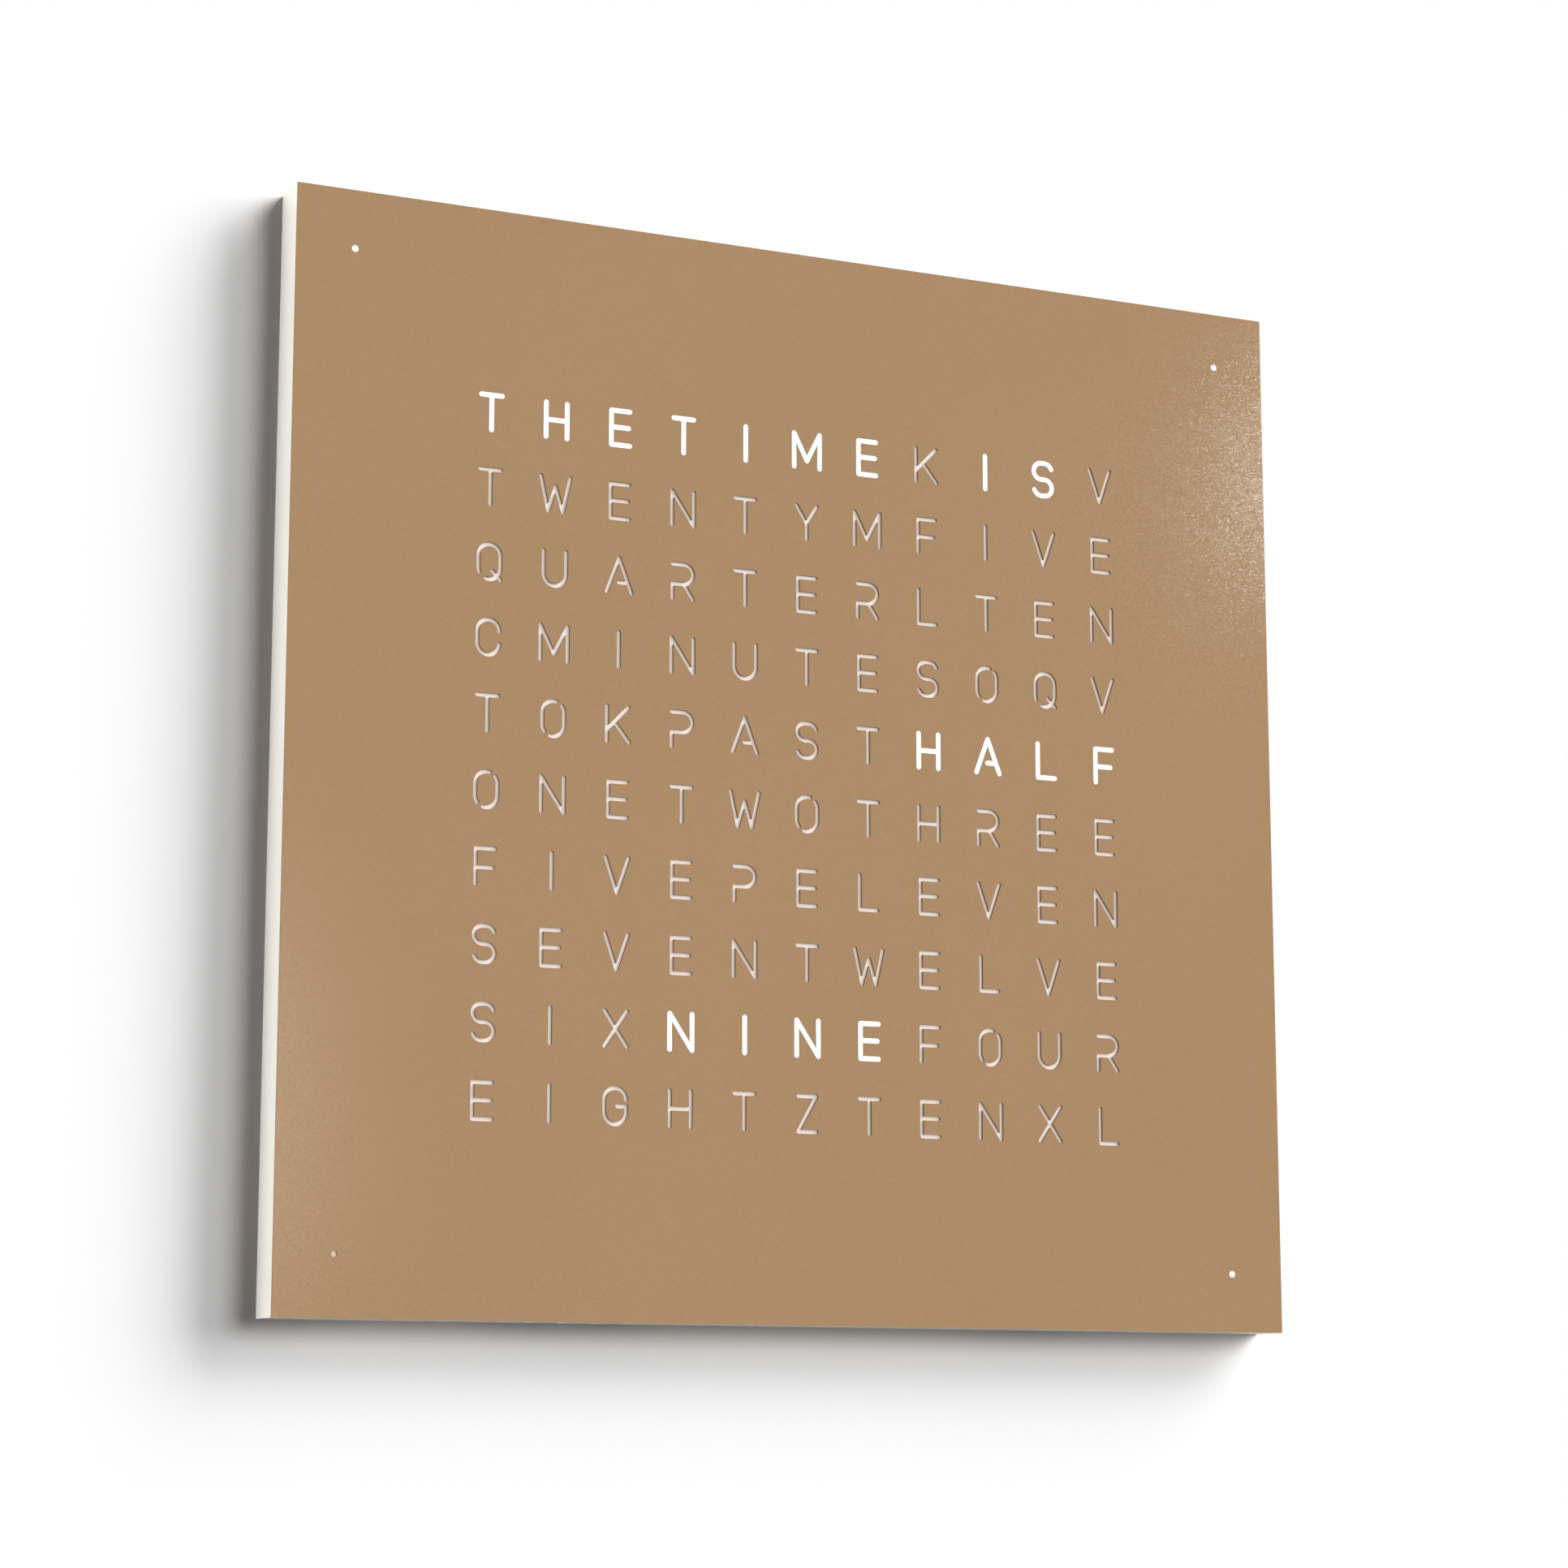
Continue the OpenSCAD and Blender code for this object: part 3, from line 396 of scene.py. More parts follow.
def solids(node):
    """The lowest and highest corner of each separate solid of a CAD node, in order of place."""
    shape = bmesh.new()
    shape.from_mesh(cad[node].data)
    bmesh.ops.remove_doubles(shape, verts=shape.verts, dist=0.001 * MM)
    left = set(shape.verts)
    boxes = []
    while left:
        found = [left.pop()]
        for point in found:
            near = {edge.other_vert(point) for edge in point.link_edges} & left
            left -= near
            found.extend(near)
        boxes.append([Vector([pick(point.co[axis] for point in found) for axis in range(3)])
                      for pick in (min, max)])
    shape.free()
    return sorted(boxes, key=lambda box: [round(number, 6) for number in box[0]])


def begun(name, material):
    """Settles the primitive that was just added as a piece of its own, with a material."""
    bpy.ops.object.transform_apply(location=True, rotation=True, scale=True)
    piece = bpy.context.active_object
    piece.name = name
    piece.data.name = name
    piece.data.materials.clear()
    piece.data.materials.append(material)
    return piece


def block(name, low, high, material):
    """Begins a piece as a box between two corners."""
    bpy.ops.object.select_all(action="DESELECT")
    bpy.ops.mesh.primitive_cube_add(size=1, location=(low + high) / 2, scale=high - low)
    return begun(name, material)


def drum(name, middle, radius, height, axis, material, sides=32):
    """Begins a piece as a cylinder round a middle, along an axis."""
    turn = {"X": (0, math.pi / 2, 0), "Y": (math.pi / 2, 0, 0), "Z": (0, 0, 0)}[axis]
    bpy.ops.object.select_all(action="DESELECT")
    bpy.ops.mesh.primitive_cylinder_add(vertices=sides, radius=radius, depth=height, location=middle,
                                        rotation=turn)
    return begun(name, material)


def facing(axis, sign, beyond=None):
    """A test for the faces that look along an axis, and lie beyond a height on it if one is given."""
    def passes(face):
        outer = beyond is None or face.center[axis] * sign > beyond * sign
        return face.normal[axis] * sign > 0.9 and outer
    return passes


def edit_faces(piece, test):
    """Goes into edit mode with only the faces of a piece selected that pass a test."""
    select_only(piece)
    bpy.ops.object.mode_set(mode="EDIT")
    bpy.ops.mesh.select_mode(type="FACE")
    bpy.ops.mesh.select_all(action="DESELECT")
    bpy.ops.object.mode_set(mode="OBJECT")
    for face in piece.data.polygons:
        face.select = test(face)
    bpy.ops.object.mode_set(mode="EDIT")


def edit_edges(piece, test):
    """Goes into edit mode with only the edges of a piece selected whose span passes a test."""
    select_only(piece)
    bpy.ops.object.mode_set(mode="EDIT")
    bpy.ops.mesh.select_mode(type="EDGE")
    bpy.ops.mesh.select_all(action="DESELECT")
    bpy.ops.object.mode_set(mode="OBJECT")
    for edge in piece.data.edges:
        one, two = [piece.data.vertices[i].co for i in edge.vertices]
        edge.select = test(one - two)
    bpy.ops.object.mode_set(mode="EDIT")


def sunk(piece, test, edge, depth, slope=0.0):
    """Leaves an edge of so many mm round some faces and sinks the rest by so many mm."""
    edit_faces(piece, test)
    bpy.ops.mesh.inset(thickness=edge * MM)
    bpy.ops.mesh.inset(thickness=max(slope, 0.001) * MM, depth=-depth * MM)
    bpy.ops.object.mode_set(mode="OBJECT")


def joined(pieces):
    """Joins pieces into the first of them."""
    select_only(pieces[0])
    for piece in pieces:
        piece.select_set(True)
    bpy.ops.object.join()
    return pieces[0]


def repeated(piece, places):
    """Joins copies of a piece, one in each place, into one piece, and leaves the model out."""
    copies = []
    for place in places:
        copy = piece.copy()
        copy.data = piece.data.copy()
        copy.data.transform(place)
        scene.collection.objects.link(copy)
        copies.append(copy)
    name = piece.name
    bpy.data.objects.remove(piece)
    whole = joined(copies)
    whole.name = name
    whole.data.name = name
    return whole


def cut_away(piece, tool):
    """Cuts a tool's shape out of a piece, and removes the tool."""
    apply_modifier(piece, "BOOLEAN", object=tool, operation="DIFFERENCE", solver="EXACT")
    bpy.data.objects.remove(tool)


# Moulding epoxy is dull and gritty. Tinned copper is bright and faintly rippled.
epoxy = coated("black_moulding_epoxy", "#222226", 0.62, 0.25, 0.02, tone="#303036", cloud=0.5)
tinned = coated("tinned_copper", "#D6D7D9", 0.25, 0.4, 0.006, tone="#AEB1B6", cloud=0.5, Metallic=1.0)


def chip_body(name, low, high, up, sides):
    """A chip's body in its box. Up is -1 where it stands on a board's front, 1 on its back."""
    reach = Vector((LEG_REACH if "X" in sides else 0, 0, LEG_REACH if "Z" in sides else 0))
    low = low + reach
    high = high - reach
    if up < 0:
        high.y -= STAND_OFF
    else:
        low.y += STAND_OFF
    body = block(name, low, high, epoxy)
    edit_faces(body, facing(1, up))
    bpy.ops.transform.resize(value=(0.94, 1, 0.94), center_override=(low + high) / 2)
    bpy.ops.object.mode_set(mode="OBJECT")
    rounded(body, 0.08, segments=1)
    top = high.y if up > 0 else low.y
    corner = Vector((low.x + DIMPLE_IN, top, high.z - DIMPLE_IN))
    cut_away(body, drum("dimple", corner, DIMPLE_RADIUS, 0.2 * MM, "Y", epoxy, sides=20))
    return body


def chip_legs(name, low, high, up, sides, pitch, count):
    """The legs of a chip: one modelled along X, and copied along each side that has legs."""
    half = LEG_THICK / 2
    leg = block(name, Vector((-0.15 * MM, -half, -LEG_HALF_WIDE)),
                Vector((0.3 * MM, half, LEG_HALF_WIDE)), tinned)
    edit_faces(leg, facing(0, 1))
    bpy.ops.mesh.extrude_region_move(TRANSFORM_OT_translate={"value": (0.22 * MM, LEG_RISE - half, 0)})
    bpy.ops.mesh.extrude_region_move(TRANSFORM_OT_translate={"value": (LEG_FOOT, 0, 0)})
    bpy.ops.object.mode_set(mode="OBJECT")
    rounded(leg, 0.04, segments=1)
    seat = high.y if up < 0 else low.y
    middle = (low + high) / 2
    flip = Matrix.Rotation(math.pi if up > 0 else 0, 4, "X")
    places = []
    for side, turn in (("X", 0), ("X", 180), ("Z", 90), ("Z", -90)):
        if side in sides:
            spin = Matrix.Rotation(math.radians(turn), 4, "Y")
            out = spin @ Vector((1, 0, 0))
            along = spin @ Vector((0, 0, 1))
            half_size = (high.x - low.x if side == "X" else high.z - low.z) / 2
            for i in range(count):
                spot = middle + out * (half_size - LEG_REACH) + along * (i - (count - 1) / 2) * pitch * MM
                spot.y = seat + up * LEG_RISE
                places.append(Matrix.Translation(spot) @ spin @ flip)
    return repeated(leg, places)


for node, up, sides, pitch, count in (("microcontroller", -1, "XZ", 0.8, 9), ("clock_chip", -1, "X", 1.1, 3),
                                      ("lamp_driver_chips", 1, "Z", 0.65, 13)):
    bodies = joined([chip_body(node + "_body", *box, up, sides) for box in solids(node)])
    legs = joined([chip_legs(node + "_legs", *box, up, sides, pitch, count) for box in solids(node)])
    place_on(bodies, "housing", "black_epoxy", node)
    place_on(legs, "housing", "steel_can")

# ---------------------------------------------------------------- voltage regulator
# A power chip in a moulded body, with a wide tinned tab soldered flat to the board above it and
# two legs below.
((low, high),) = solids("voltage_regulator")
TAB = 1.6 * MM
tab = block("regulator_tab", Vector((low.x + 0.5 * MM, high.y - 0.5 * MM, high.z - TAB - 0.6 * MM)),
            Vector((high.x - 0.5 * MM, high.y, high.z)), tinned)
rounded(tab, 0.15)
body = chip_body("regulator_body", low, high - Vector((0, 0, TAB - LEG_REACH)), -1, "Z")
legs = chip_legs("regulator_legs", low, high, -1, "Z", 2.3, 2)
metal = joined([tab, legs])
place_on(body, "housing", "black_epoxy", "voltage_regulator")
place_on(metal, "housing", "steel_can")

# ---------------------------------------------------------------- power inductor
# A pressed ferrite choke with rounded corners, soldered flat to the control board. A ring-shaped
# gap in its face lies round the core.
((low, high),) = solids("power_inductor")
middle = (low + high) / 2
ferrite = coated("sintered_ferrite", "#34343A", 0.72, 0.3, 0.05, tone="#4A4A50", cloud=0.6)
choke = block("power_choke", low, high, ferrite)
edit_edges(choke, lambda span: abs(span.y) > MM)
bpy.ops.mesh.bevel(offset=1.6 * MM, segments=5)
bpy.ops.object.mode_set(mode="OBJECT")
CORE_RADIUS = 2.5 * MM
GAP_RADIUS = 3.1 * MM
face_middle = Vector((middle.x, low.y, middle.z))
gap = drum("gap", face_middle, GAP_RADIUS, 1.0 * MM, "Y", ferrite, sides=40)
cut_away(gap, drum("core", face_middle, CORE_RADIUS, 2 * MM, "Y", ferrite, sides=40))
cut_away(choke, gap)
rounded(choke, 0.12, segments=1)
place_on(choke, "housing", "black_epoxy", "power_inductor")

# ---------------------------------------------------------------- filter capacitors
# Two aluminium cans, rolled in above a black rubber base, with the shallow cross pressed into
# the top that lets a failing can open.
can_metal = coated("drawn_aluminium_can", "#CFD1D4", 0.3, 0.3, 0.004, tone="#B2B5BA", cloud=0.6,
                   stretch=(1, 0.1, 1), Metallic=1.0)
rubber = coated("black_rubber_bung", "#26262A", 0.7, 0.3, 0.02)
NECK = 1.9 * MM
NECK_HALF = 0.4 * MM
SCORE_HALF = 2.4 * MM
cans = []
bungs = []
for low, high in solids("filter_capacitors"):
    middle = (low + high) / 2
    radius = (high.x - low.x) / 2
    can = drum("capacitor_cans", Vector((middle.x, (low.y + high.y - MM) / 2, middle.z)), radius - 0.15 * MM,
               high.y - low.y - MM, "Y", can_metal, sides=40)
    select_only(can)
    bpy.ops.object.mode_set(mode="EDIT")
    for height in (NECK - NECK_HALF, NECK, NECK + NECK_HALF):
        bpy.ops.mesh.select_all(action="SELECT")
        bpy.ops.mesh.bisect(plane_co=(middle.x, high.y - height, middle.z), plane_no=(0, 1, 0))
    bpy.ops.mesh.select_all(action="DESELECT")
    bpy.ops.mesh.select_mode(type="VERT")
    bpy.ops.object.mode_set(mode="OBJECT")
    for point in can.data.vertices:
        point.select = abs(point.co.y - (high.y - NECK)) < 0.05 * MM
    bpy.ops.object.mode_set(mode="EDIT")
    bpy.ops.transform.resize(value=(0.9, 1, 0.9), center_override=middle)
    bpy.ops.object.mode_set(mode="OBJECT")
    for turn in (0, math.pi / 2):
        score = block("score", Vector((middle.x - SCORE_HALF, low.y - 0.1 * MM, middle.z - 0.15 * MM)),
                      Vector((middle.x + SCORE_HALF, low.y + 0.12 * MM, middle.z + 0.15 * MM)), can_metal)
        score.data.transform(Matrix.Translation(middle) @ Matrix.Rotation(turn, 4, "Y")
                             @ Matrix.Translation(-middle))
        cut_away(can, score)
    rounded(can, 0.25)
    cans.append(can)
    bung = drum("capacitor_bungs", Vector((middle.x, high.y - 0.6 * MM, middle.z)), radius, 1.2 * MM, "Y",
                rubber, sides=40)
    rounded(bung, 0.2)
    bungs.append(bung)
place_on(joined(cans), "housing", "aluminium_can", "filter_capacitors")
place_on(joined(bungs), "housing", "black_epoxy")

# ---------------------------------------------------------------- clock crystal
# A quartz crystal in a drawn steel can with round ends, resistance-welded to a thin flange and
# soldered flat to the control board.
((low, high),) = solids("clock_crystal")
nickelled = coated("nickel_plated_drawn_steel", "#C4C4C0", 0.25, 0.4, 0.004, tone="#A5A5A0", cloud=0.5,
                   Metallic=1.0)
FLANGE = 0.35 * MM
parts = []
for name, inset, top, bottom in (("crystal_can", FLANGE, low.y, high.y - 0.3 * MM),
                                 ("crystal_flange", 0, high.y - 0.4 * MM, high.y)):
    shell = block(name, Vector((low.x + inset, top, low.z + inset)),
                  Vector((high.x - inset, bottom, high.z - inset)), nickelled)
    edit_edges(shell, lambda span: abs(span.y) > 0.2 * MM)
    bpy.ops.mesh.bevel(offset=(high.x - low.x) / 2 - inset - 0.05 * MM, segments=8)
    bpy.ops.object.mode_set(mode="OBJECT")
    rounded(shell, 0.12 if inset == 0 else 0.4)
    parts.append(shell)
place_on(joined(parts), "housing", "steel_can", "clock_crystal")

# ---------------------------------------------------------------- coin cell and its holder
# A lithium cell in a stainless can with a stepped rim, pushed into a black moulded holder on the
# control board.
cell_steel = coated("brushed_stainless_can", "#95969A", 0.3, 0.3, 0.004, tone="#7C7E82", cloud=0.4,
                    stretch=(0.1, 1, 1), Metallic=1.0)
cell = recast("coin_cell", "lithium_cell", cell_steel)
rounded(cell, 0.2)
place_on(cell, "housing", "steel_can", "coin_cell")
holder = recast("coin_cell_holder", "cell_holder", black_abs)
rounded(holder, 0.15)
place_on(holder, "housing", "black_abs", "coin_cell_holder")

# ---------------------------------------------------------------- ribbons and their sockets
# Flat ribbons of polyester film with copper strips inside, each held at both ends in a moulded
# socket with a row of tinned contacts.
def striped(name, film, strip, pitch, axis):
    """Clear film over copper strips, spaced so many mm apart along an axis. For the axis
    DIAGONAL, they run from the middle of the clock to its corners."""
    material, tree = empty_material(name)
    place = add(tree, "TexCoord").outputs["Object"]
    across = place
    apart = pitch * MM
    if axis == "DIAGONAL":
        spot = add(tree, "SeparateXYZ", {"Vector": place})
        right, up = [add(tree, "Math", {0: spot.outputs[side]}, operation="ABSOLUTE").outputs[0]
                     for side in ("X", "Z")]
        aside = add(tree, "Math", {0: right, 1: up}, operation="SUBTRACT")
        across = add(tree, "CombineXYZ", {"X": aside.outputs[0]}).outputs[0]
        axis = "X"
        apart *= math.sqrt(2)
    bands = add(tree, "TexWave", {"Vector": across, "Scale": math.pi / (10 * apart)}, wave_type="BANDS",
                bands_direction=axis)
    strips = add(tree, "MapRange", {"Value": bands.outputs["Fac"], "From Min": 0.35, "From Max": 0.5})
    dust = add(tree, "TexNoise", {"Vector": place, "Scale": 1 / (1.5 * MM), "Detail": 3.0})
    base = add(tree, "Mix", {"Factor": strips.outputs[0], "A": linear(film), "B": linear(strip)},
               data_type="RGBA")
    bump = add(tree, "Bump", {"Strength": 0.6, "Distance": 0.03 * MM, "Height": strips.outputs[0]})
    gloss = add(tree, "MapRange", {"Value": dust.outputs["Fac"], "To Min": 0.2, "To Max": 0.4})
    finish(tree, {"Base Color": base.outputs["Result"], "Roughness": gloss.outputs[0],
                  "Normal": bump.outputs[0]})
    return material


FILM, STRIP = "#E4E2DA", "#C4C6C8"
wear("lamp_ribbon", striped("polyester_film_ribbon", FILM, STRIP, 1.0, "X"))
wear("button_ribbon", striped("polyester_film_jumper", FILM, STRIP, 1.0, "Y"))
# Nylon: cream, faintly translucent and satin from a polished mould.
cream_nylon = coated("moulded_cream_nylon", "#E3D9C0", 0.4, 0.4, 0.015, tone="#D3C6A6", cloud=0.5,
                     **{"Subsurface Weight": 0.1, "Subsurface Radius": (0.001, 0.0008, 0.0005)})
# For each socket, the axis and the sign that its slot opens along, and the axis that its contacts
# are spread along.
END_MARGIN = 1.2 * MM
CONTACT_WIDE = 0.5 * MM
CONTACT_LONG = 0.8 * MM
CONTACT_OUT = 0.02 * MM
CONTACT_TALL = 0.3
CONTACT_PITCH = MM
for node, mouths in (("lamp_ribbon_sockets", ((2, 1, 0), (2, -1, 0))),
                     ("button_ribbon_sockets", ((0, 1, 1), (0, -1, 2)))):
    shells = []
    contacts = []
    for (low, high), (axis, sign, spread) in zip(solids(node), mouths):
        shell = block(node.replace("sockets", "socket_shells"), low, high, cream_nylon)
        sunk(shell, facing(axis, sign), 0.7, 1.6)
        rounded(shell, 0.15, segments=1)
        shells.append(shell)
        middle = (low + high) / 2
        size = high - low
        pin_low = middle.copy()
        pin_high = middle.copy()
        for side in range(3):
            if side == spread:
                pin_low[side] = low[side] + END_MARGIN
                pin_high[side] = low[side] + END_MARGIN + CONTACT_WIDE
            elif side == axis:
                back = low[side] if sign > 0 else high[side]
                pin_low[side] = min(back, back + sign * CONTACT_LONG) + sign * CONTACT_OUT
                pin_high[side] = max(back, back + sign * CONTACT_LONG) + sign * CONTACT_OUT
            else:
                pin_low[side] = middle[side] - size[side] * CONTACT_TALL
                pin_high[side] = middle[side] + size[side] * CONTACT_TALL
        count = int((size[spread] - 2 * END_MARGIN - CONTACT_WIDE) / CONTACT_PITCH) + 1
        step = Vector([CONTACT_PITCH if side == spread else 0 for side in range(3)])
        pin = block(node.replace("sockets", "socket_contacts"), pin_low, pin_high, tinned)
        rounded(pin, 0.1, segments=1)
        contacts.append(repeated(pin, [Matrix.Translation(step * i) for i in range(count)]))
    place_on(joined(shells), "housing", "cream_nylon", node)
    place_on(joined(contacts), "housing", "steel_can")

# ---------------------------------------------------------------- push switches
# Three tactile switches on the button board: a black moulded base, a cap stamped from thin
# stainless sheet with four staked corners, and a nylon plunger that the button presses.
wear("switch_housings", black_abs)
wear("hour_plunger minute_plunger mode_plunger", cream_nylon)
stamped = coated("stamped_stainless_sheet", "#C9CACC", 0.28, 0.3, 0.004, tone="#A8AAAE", cloud=0.5,
                 stretch=(0.12, 1, 1), Metallic=1.0)
CAP_THICK = 0.25 * MM
CAP_IN = 0.2 * MM
PLUNGER_HOLE = 1.9 * MM
STAKE_OUT = 2.1 * MM
caps = []
for low, high in solids("switch_housings"):
    middle = (low + high) / 2
    edge = Vector((CAP_IN, CAP_IN, 0))
    cap = block("switch_caps", Vector((low.x, low.y, low.z - CAP_THICK)) + edge,
                Vector((high.x, high.y, low.z)) - edge, stamped)
    cut_away(cap, drum("hole", Vector((middle.x, middle.y, low.z)), PLUNGER_HOLE, 2 * MM, "Z", stamped))
    for side_x in (-1, 1):
        for side_y in (-1, 1):
            spot = middle + Vector((side_x * STAKE_OUT, side_y * STAKE_OUT, 0))
            spot.z = low.z - CAP_THICK
            stake = drum("stake", spot, 0.4 * MM, 0.3 * MM, "Z", black_abs, sides=16)
            rounded(stake, 0.1)
            cap = joined([cap, stake])
    caps.append(cap)
place_on(joined(caps), "housing", "stainless_steel")

# ---------------------------------------------------------------- setting buttons
# Three caps of pale moulded plastic in the lower edge, each with a rounded rim and a shallow
# dish for a fingertip.
pale_abs = coated("satin_pale_abs", "#E6E3DA", 0.42, 0.5, 0.02, tone="#D2CEC2", cloud=0.4)
# The flat rim, and then the dish: how far each ring lies inside the last and below it, in mm.
DISH_RINGS = ((0.8, 0.0), (0.6, 0.16), (0.7, 0.12), (0.7, 0.06))
for name in ("hour", "minute", "mode"):
    button = recast(name + "_button", name + "_button_cap", pale_abs)
    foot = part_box(name + "_button")[0][2]
    edit_faces(button, facing(2, -1, beyond=foot + MM))
    for edge, depth in DISH_RINGS:
        bpy.ops.mesh.inset(thickness=edge * MM, depth=-depth * MM)
    bpy.ops.object.mode_set(mode="OBJECT")
    rounded(button, 0.25)
    place_on(button, name + "_key", "pale_abs", name + "_button")

# ---------------------------------------------------------------- room-light sensor
# A photodiode in dark epoxy on the button board, and a polished clear acrylic guide that takes
# it the light of the room.
photodiode = coated("dark_filter_epoxy", "#1C1A24", 0.18, 0.5, 0.004, tone="#2C2838", cloud=0.5)
((low, high),) = solids("light_sensor")
sensor = block("light_sensor_body", low, high, photodiode)
sunk(sensor, facing(2, -1), 0.7, 0.15, slope=0.2)
rounded(sensor, 0.12)
place_on(sensor, "housing", "black_epoxy", "light_sensor")
clear = coated("polished_clear_acrylic", "#F4F7F7", 0.06, 2.0, 0.002, tone="#E6EEEE", cloud=0.4,
               **{"Transmission Weight": 0.85, "IOR": 1.49})
guide = recast("sensor_window", "light_guide", clear)
rounded(guide, 0.2)
place_on(guide, "housing", "clear_acrylic", "sensor_window")

# ---------------------------------------------------------------- lamp board
# A board under white solder mask, which throws the lamps' light forward, on eight brass spacers.
# The four corner boards are of the same laminate, and flat leads join them to it.
wear("lamp_board corner_boards", laminate("white_solder_mask", "#E6E6E1", "#F1F1EE", 2.54, 14, 0.035))
wear("corner_leads", striped("polyester_film_lead", FILM, STRIP, 1.0, "DIAGONAL"))


# ---------------------------------------------------------------- lamps
# Surface-mounted white lamps, one behind each letter and corner dot: a moulded white cup with
# sloping walls, filled with yellow phosphor resin, on tinned pads at both ends.
PAD_OUT = 0.12 * MM
PAD_REACH = 0.3 * MM
PAD_TALL = 0.55 * MM


def lamp_cup(low, high, name):
    """A lamp's moulded cup in its box."""
    pad = Vector((PAD_OUT, 0, 0))
    cup = block(name, low + pad, high - pad, white_abs)
    sunk(cup, facing(1, -1), 0.35, 0.55, slope=0.3)
    rounded(cup, 0.06, segments=1)
    return cup


def lamp_pads(low, high, name):
    """The tinned ends of a lamp, wrapped round its two short sides."""
    pads = []
    for one in (low.x, high.x - PAD_REACH):
        pad = block(name, Vector((one, high.y - PAD_TALL, low.z + 0.3 * MM)),
                    Vector((one + PAD_REACH, high.y, high.z - 0.3 * MM)), tinned)
        rounded(pad, 0.05, segments=1)
        pads.append(pad)
    return joined(pads)


def lamp_resin(low, high, name, material):
    """The resin in a lamp's cup, sunk a little below its rim, with a domed face."""
    rim = Vector((0.55 * MM, 0, 0.45 * MM))
    inner_low = low + rim + Vector((0, 0.2 * MM, 0))
    inner_high = high - rim
    inner_high.y = low.y + 0.5 * MM
    resin = block(name, inner_low, inner_high, material)
    sunk(resin, facing(1, -1), 0.3, -0.06, slope=0.2)
    return resin


ROWS, COLS = 10, 11
COL_PITCH, ROW_PITCH = 28.25 * MM, 31 * MM
# The lamps that are on, as runs of a row, its first and its last column, and the one dark corner.
LIT_RUNS = ((0, 0, 6), (0, 8, 9), (4, 7, 10), (8, 3, 6))
DARK_CORNER = (-1, -1)
CORNER_FROM = 180 * MM


def is_lit(x, z):
    """Whether the lamp at a place on the front is on."""
    if abs(x) > CORNER_FROM and abs(z) > CORNER_FROM:
        return (math.copysign(1, x), math.copysign(1, z)) != DARK_CORNER
    col = round(x / COL_PITCH + (COLS - 1) / 2)
    row = round((ROWS - 1) / 2 - z / ROW_PITCH)
    return any(row == lit_row and first <= col <= last for lit_row, first, last in LIT_RUNS)


white_abs = coated("moulded_white_abs", "#EFEFEB", 0.45, 0.4, 0.02, tone="#DFDFDA", cloud=0.4)
dark_resin = coated("yellow_phosphor_resin", "#E8D24A", 0.4, 0.15, 0.02, tone="#D0B22E", cloud=0.6)
lit_resin = coated("glowing_phosphor_resin", "#F6EFC4", 0.4, 0.15, 0.02, tone="#FFFFFF", cloud=0.6,
                   **{"Emission Color": linear("#FFFBEF"), "Emission Strength": 0.9})
lamps = solids("letter_lamps")
corner_lamps = solids("corner_lamps")


def lamp_is_lit(box):
    """Whether a lamp is one of those that are on."""
    middle = (box[0] + box[1]) / 2
    return is_lit(middle.x, middle.z)


for node, boxes in (("letter_lamps", lamps), ("corner_lamps", corner_lamps)):
    first = boxes[0]
    every = [Matrix.Translation(box[0] - first[0]) for box in boxes]
    cups = repeated(lamp_cup(*first, node.replace("lamps", "lamp_cups")), every)
    place_on(cups, "housing", "white_abs", node)
    pads = repeated(lamp_pads(*first, node.replace("lamps", "lamp_pads")), every)
    place_on(pads, "housing", "steel_can")
    for state, material in ((True, lit_resin), (False, dark_resin)):
        shown = [move for box, move in zip(boxes, every) if lamp_is_lit(box) == state]
        name = node.replace("lamps", "lit_resin" if state else "dark_resin")
        resin = repeated(lamp_resin(*first, name, material), shown)
        place_on(resin, "housing", "lamp_phosphor")

# ---------------------------------------------------------------- light cells
# A moulded white grid that keeps each letter's light to itself, and four round cells behind the
# corner dots.
wear("light_grid corner_light_cells", white_abs)

# ---------------------------------------------------------------- opal sheet
# Opal cast acrylic over the light cells. Where a lamp is on, its cell glows white; the rest glows a
# little too, a painted glow that stands in for the stray light that runs in the sheet.
opal, tree = empty_material("opal_cast_acrylic")
place = add(tree, "TexCoord").outputs["Object"]
spot = add(tree, "SeparateXYZ", {"Vector": place})
glowing = 0.0
for row, first, last in LIT_RUNS:
    middle_x = ((first + last) / 2 - (COLS - 1) / 2) * COL_PITCH
    middle_z = ((ROWS - 1) / 2 - row) * ROW_PITCH
    across = add(tree, "Math", {0: spot.outputs["X"], 1: middle_x, 2: (last - first + 1) / 2 * COL_PITCH},
                 operation="COMPARE")
    up = add(tree, "Math", {0: spot.outputs["Z"], 1: middle_z, 2: ROW_PITCH / 2}, operation="COMPARE")
    both = add(tree, "Math", {0: across.outputs[0], 1: up.outputs[0], 2: glowing}, operation="MULTIPLY_ADD")
    glowing = both.outputs[0]
haze = add(tree, "TexNoise", {"Vector": place, "Scale": 1 / (0.5 * MM), "Detail": 2.0})
milk = add(tree, "Mix", {"Factor": haze.outputs["Fac"], "A": linear("#D6CECA"), "B": linear("#BDB4AF")},
           data_type="RGBA")
# The dark cells carry a painted glow of #A0978F; the lit ones glow white from their lamps.
glow = add(tree, "Mix", {"Factor": glowing, "A": linear("#A0978F"), "B": (1, 1, 1, 1)}, data_type="RGBA")
matt = add(tree, "Bump", {"Strength": 0.4, "Distance": 0.02 * MM, "Height": haze.outputs["Fac"]})
rough = add(tree, "MapRange", {"Value": haze.outputs["Fac"], "To Min": 0.4, "To Max": 0.6})
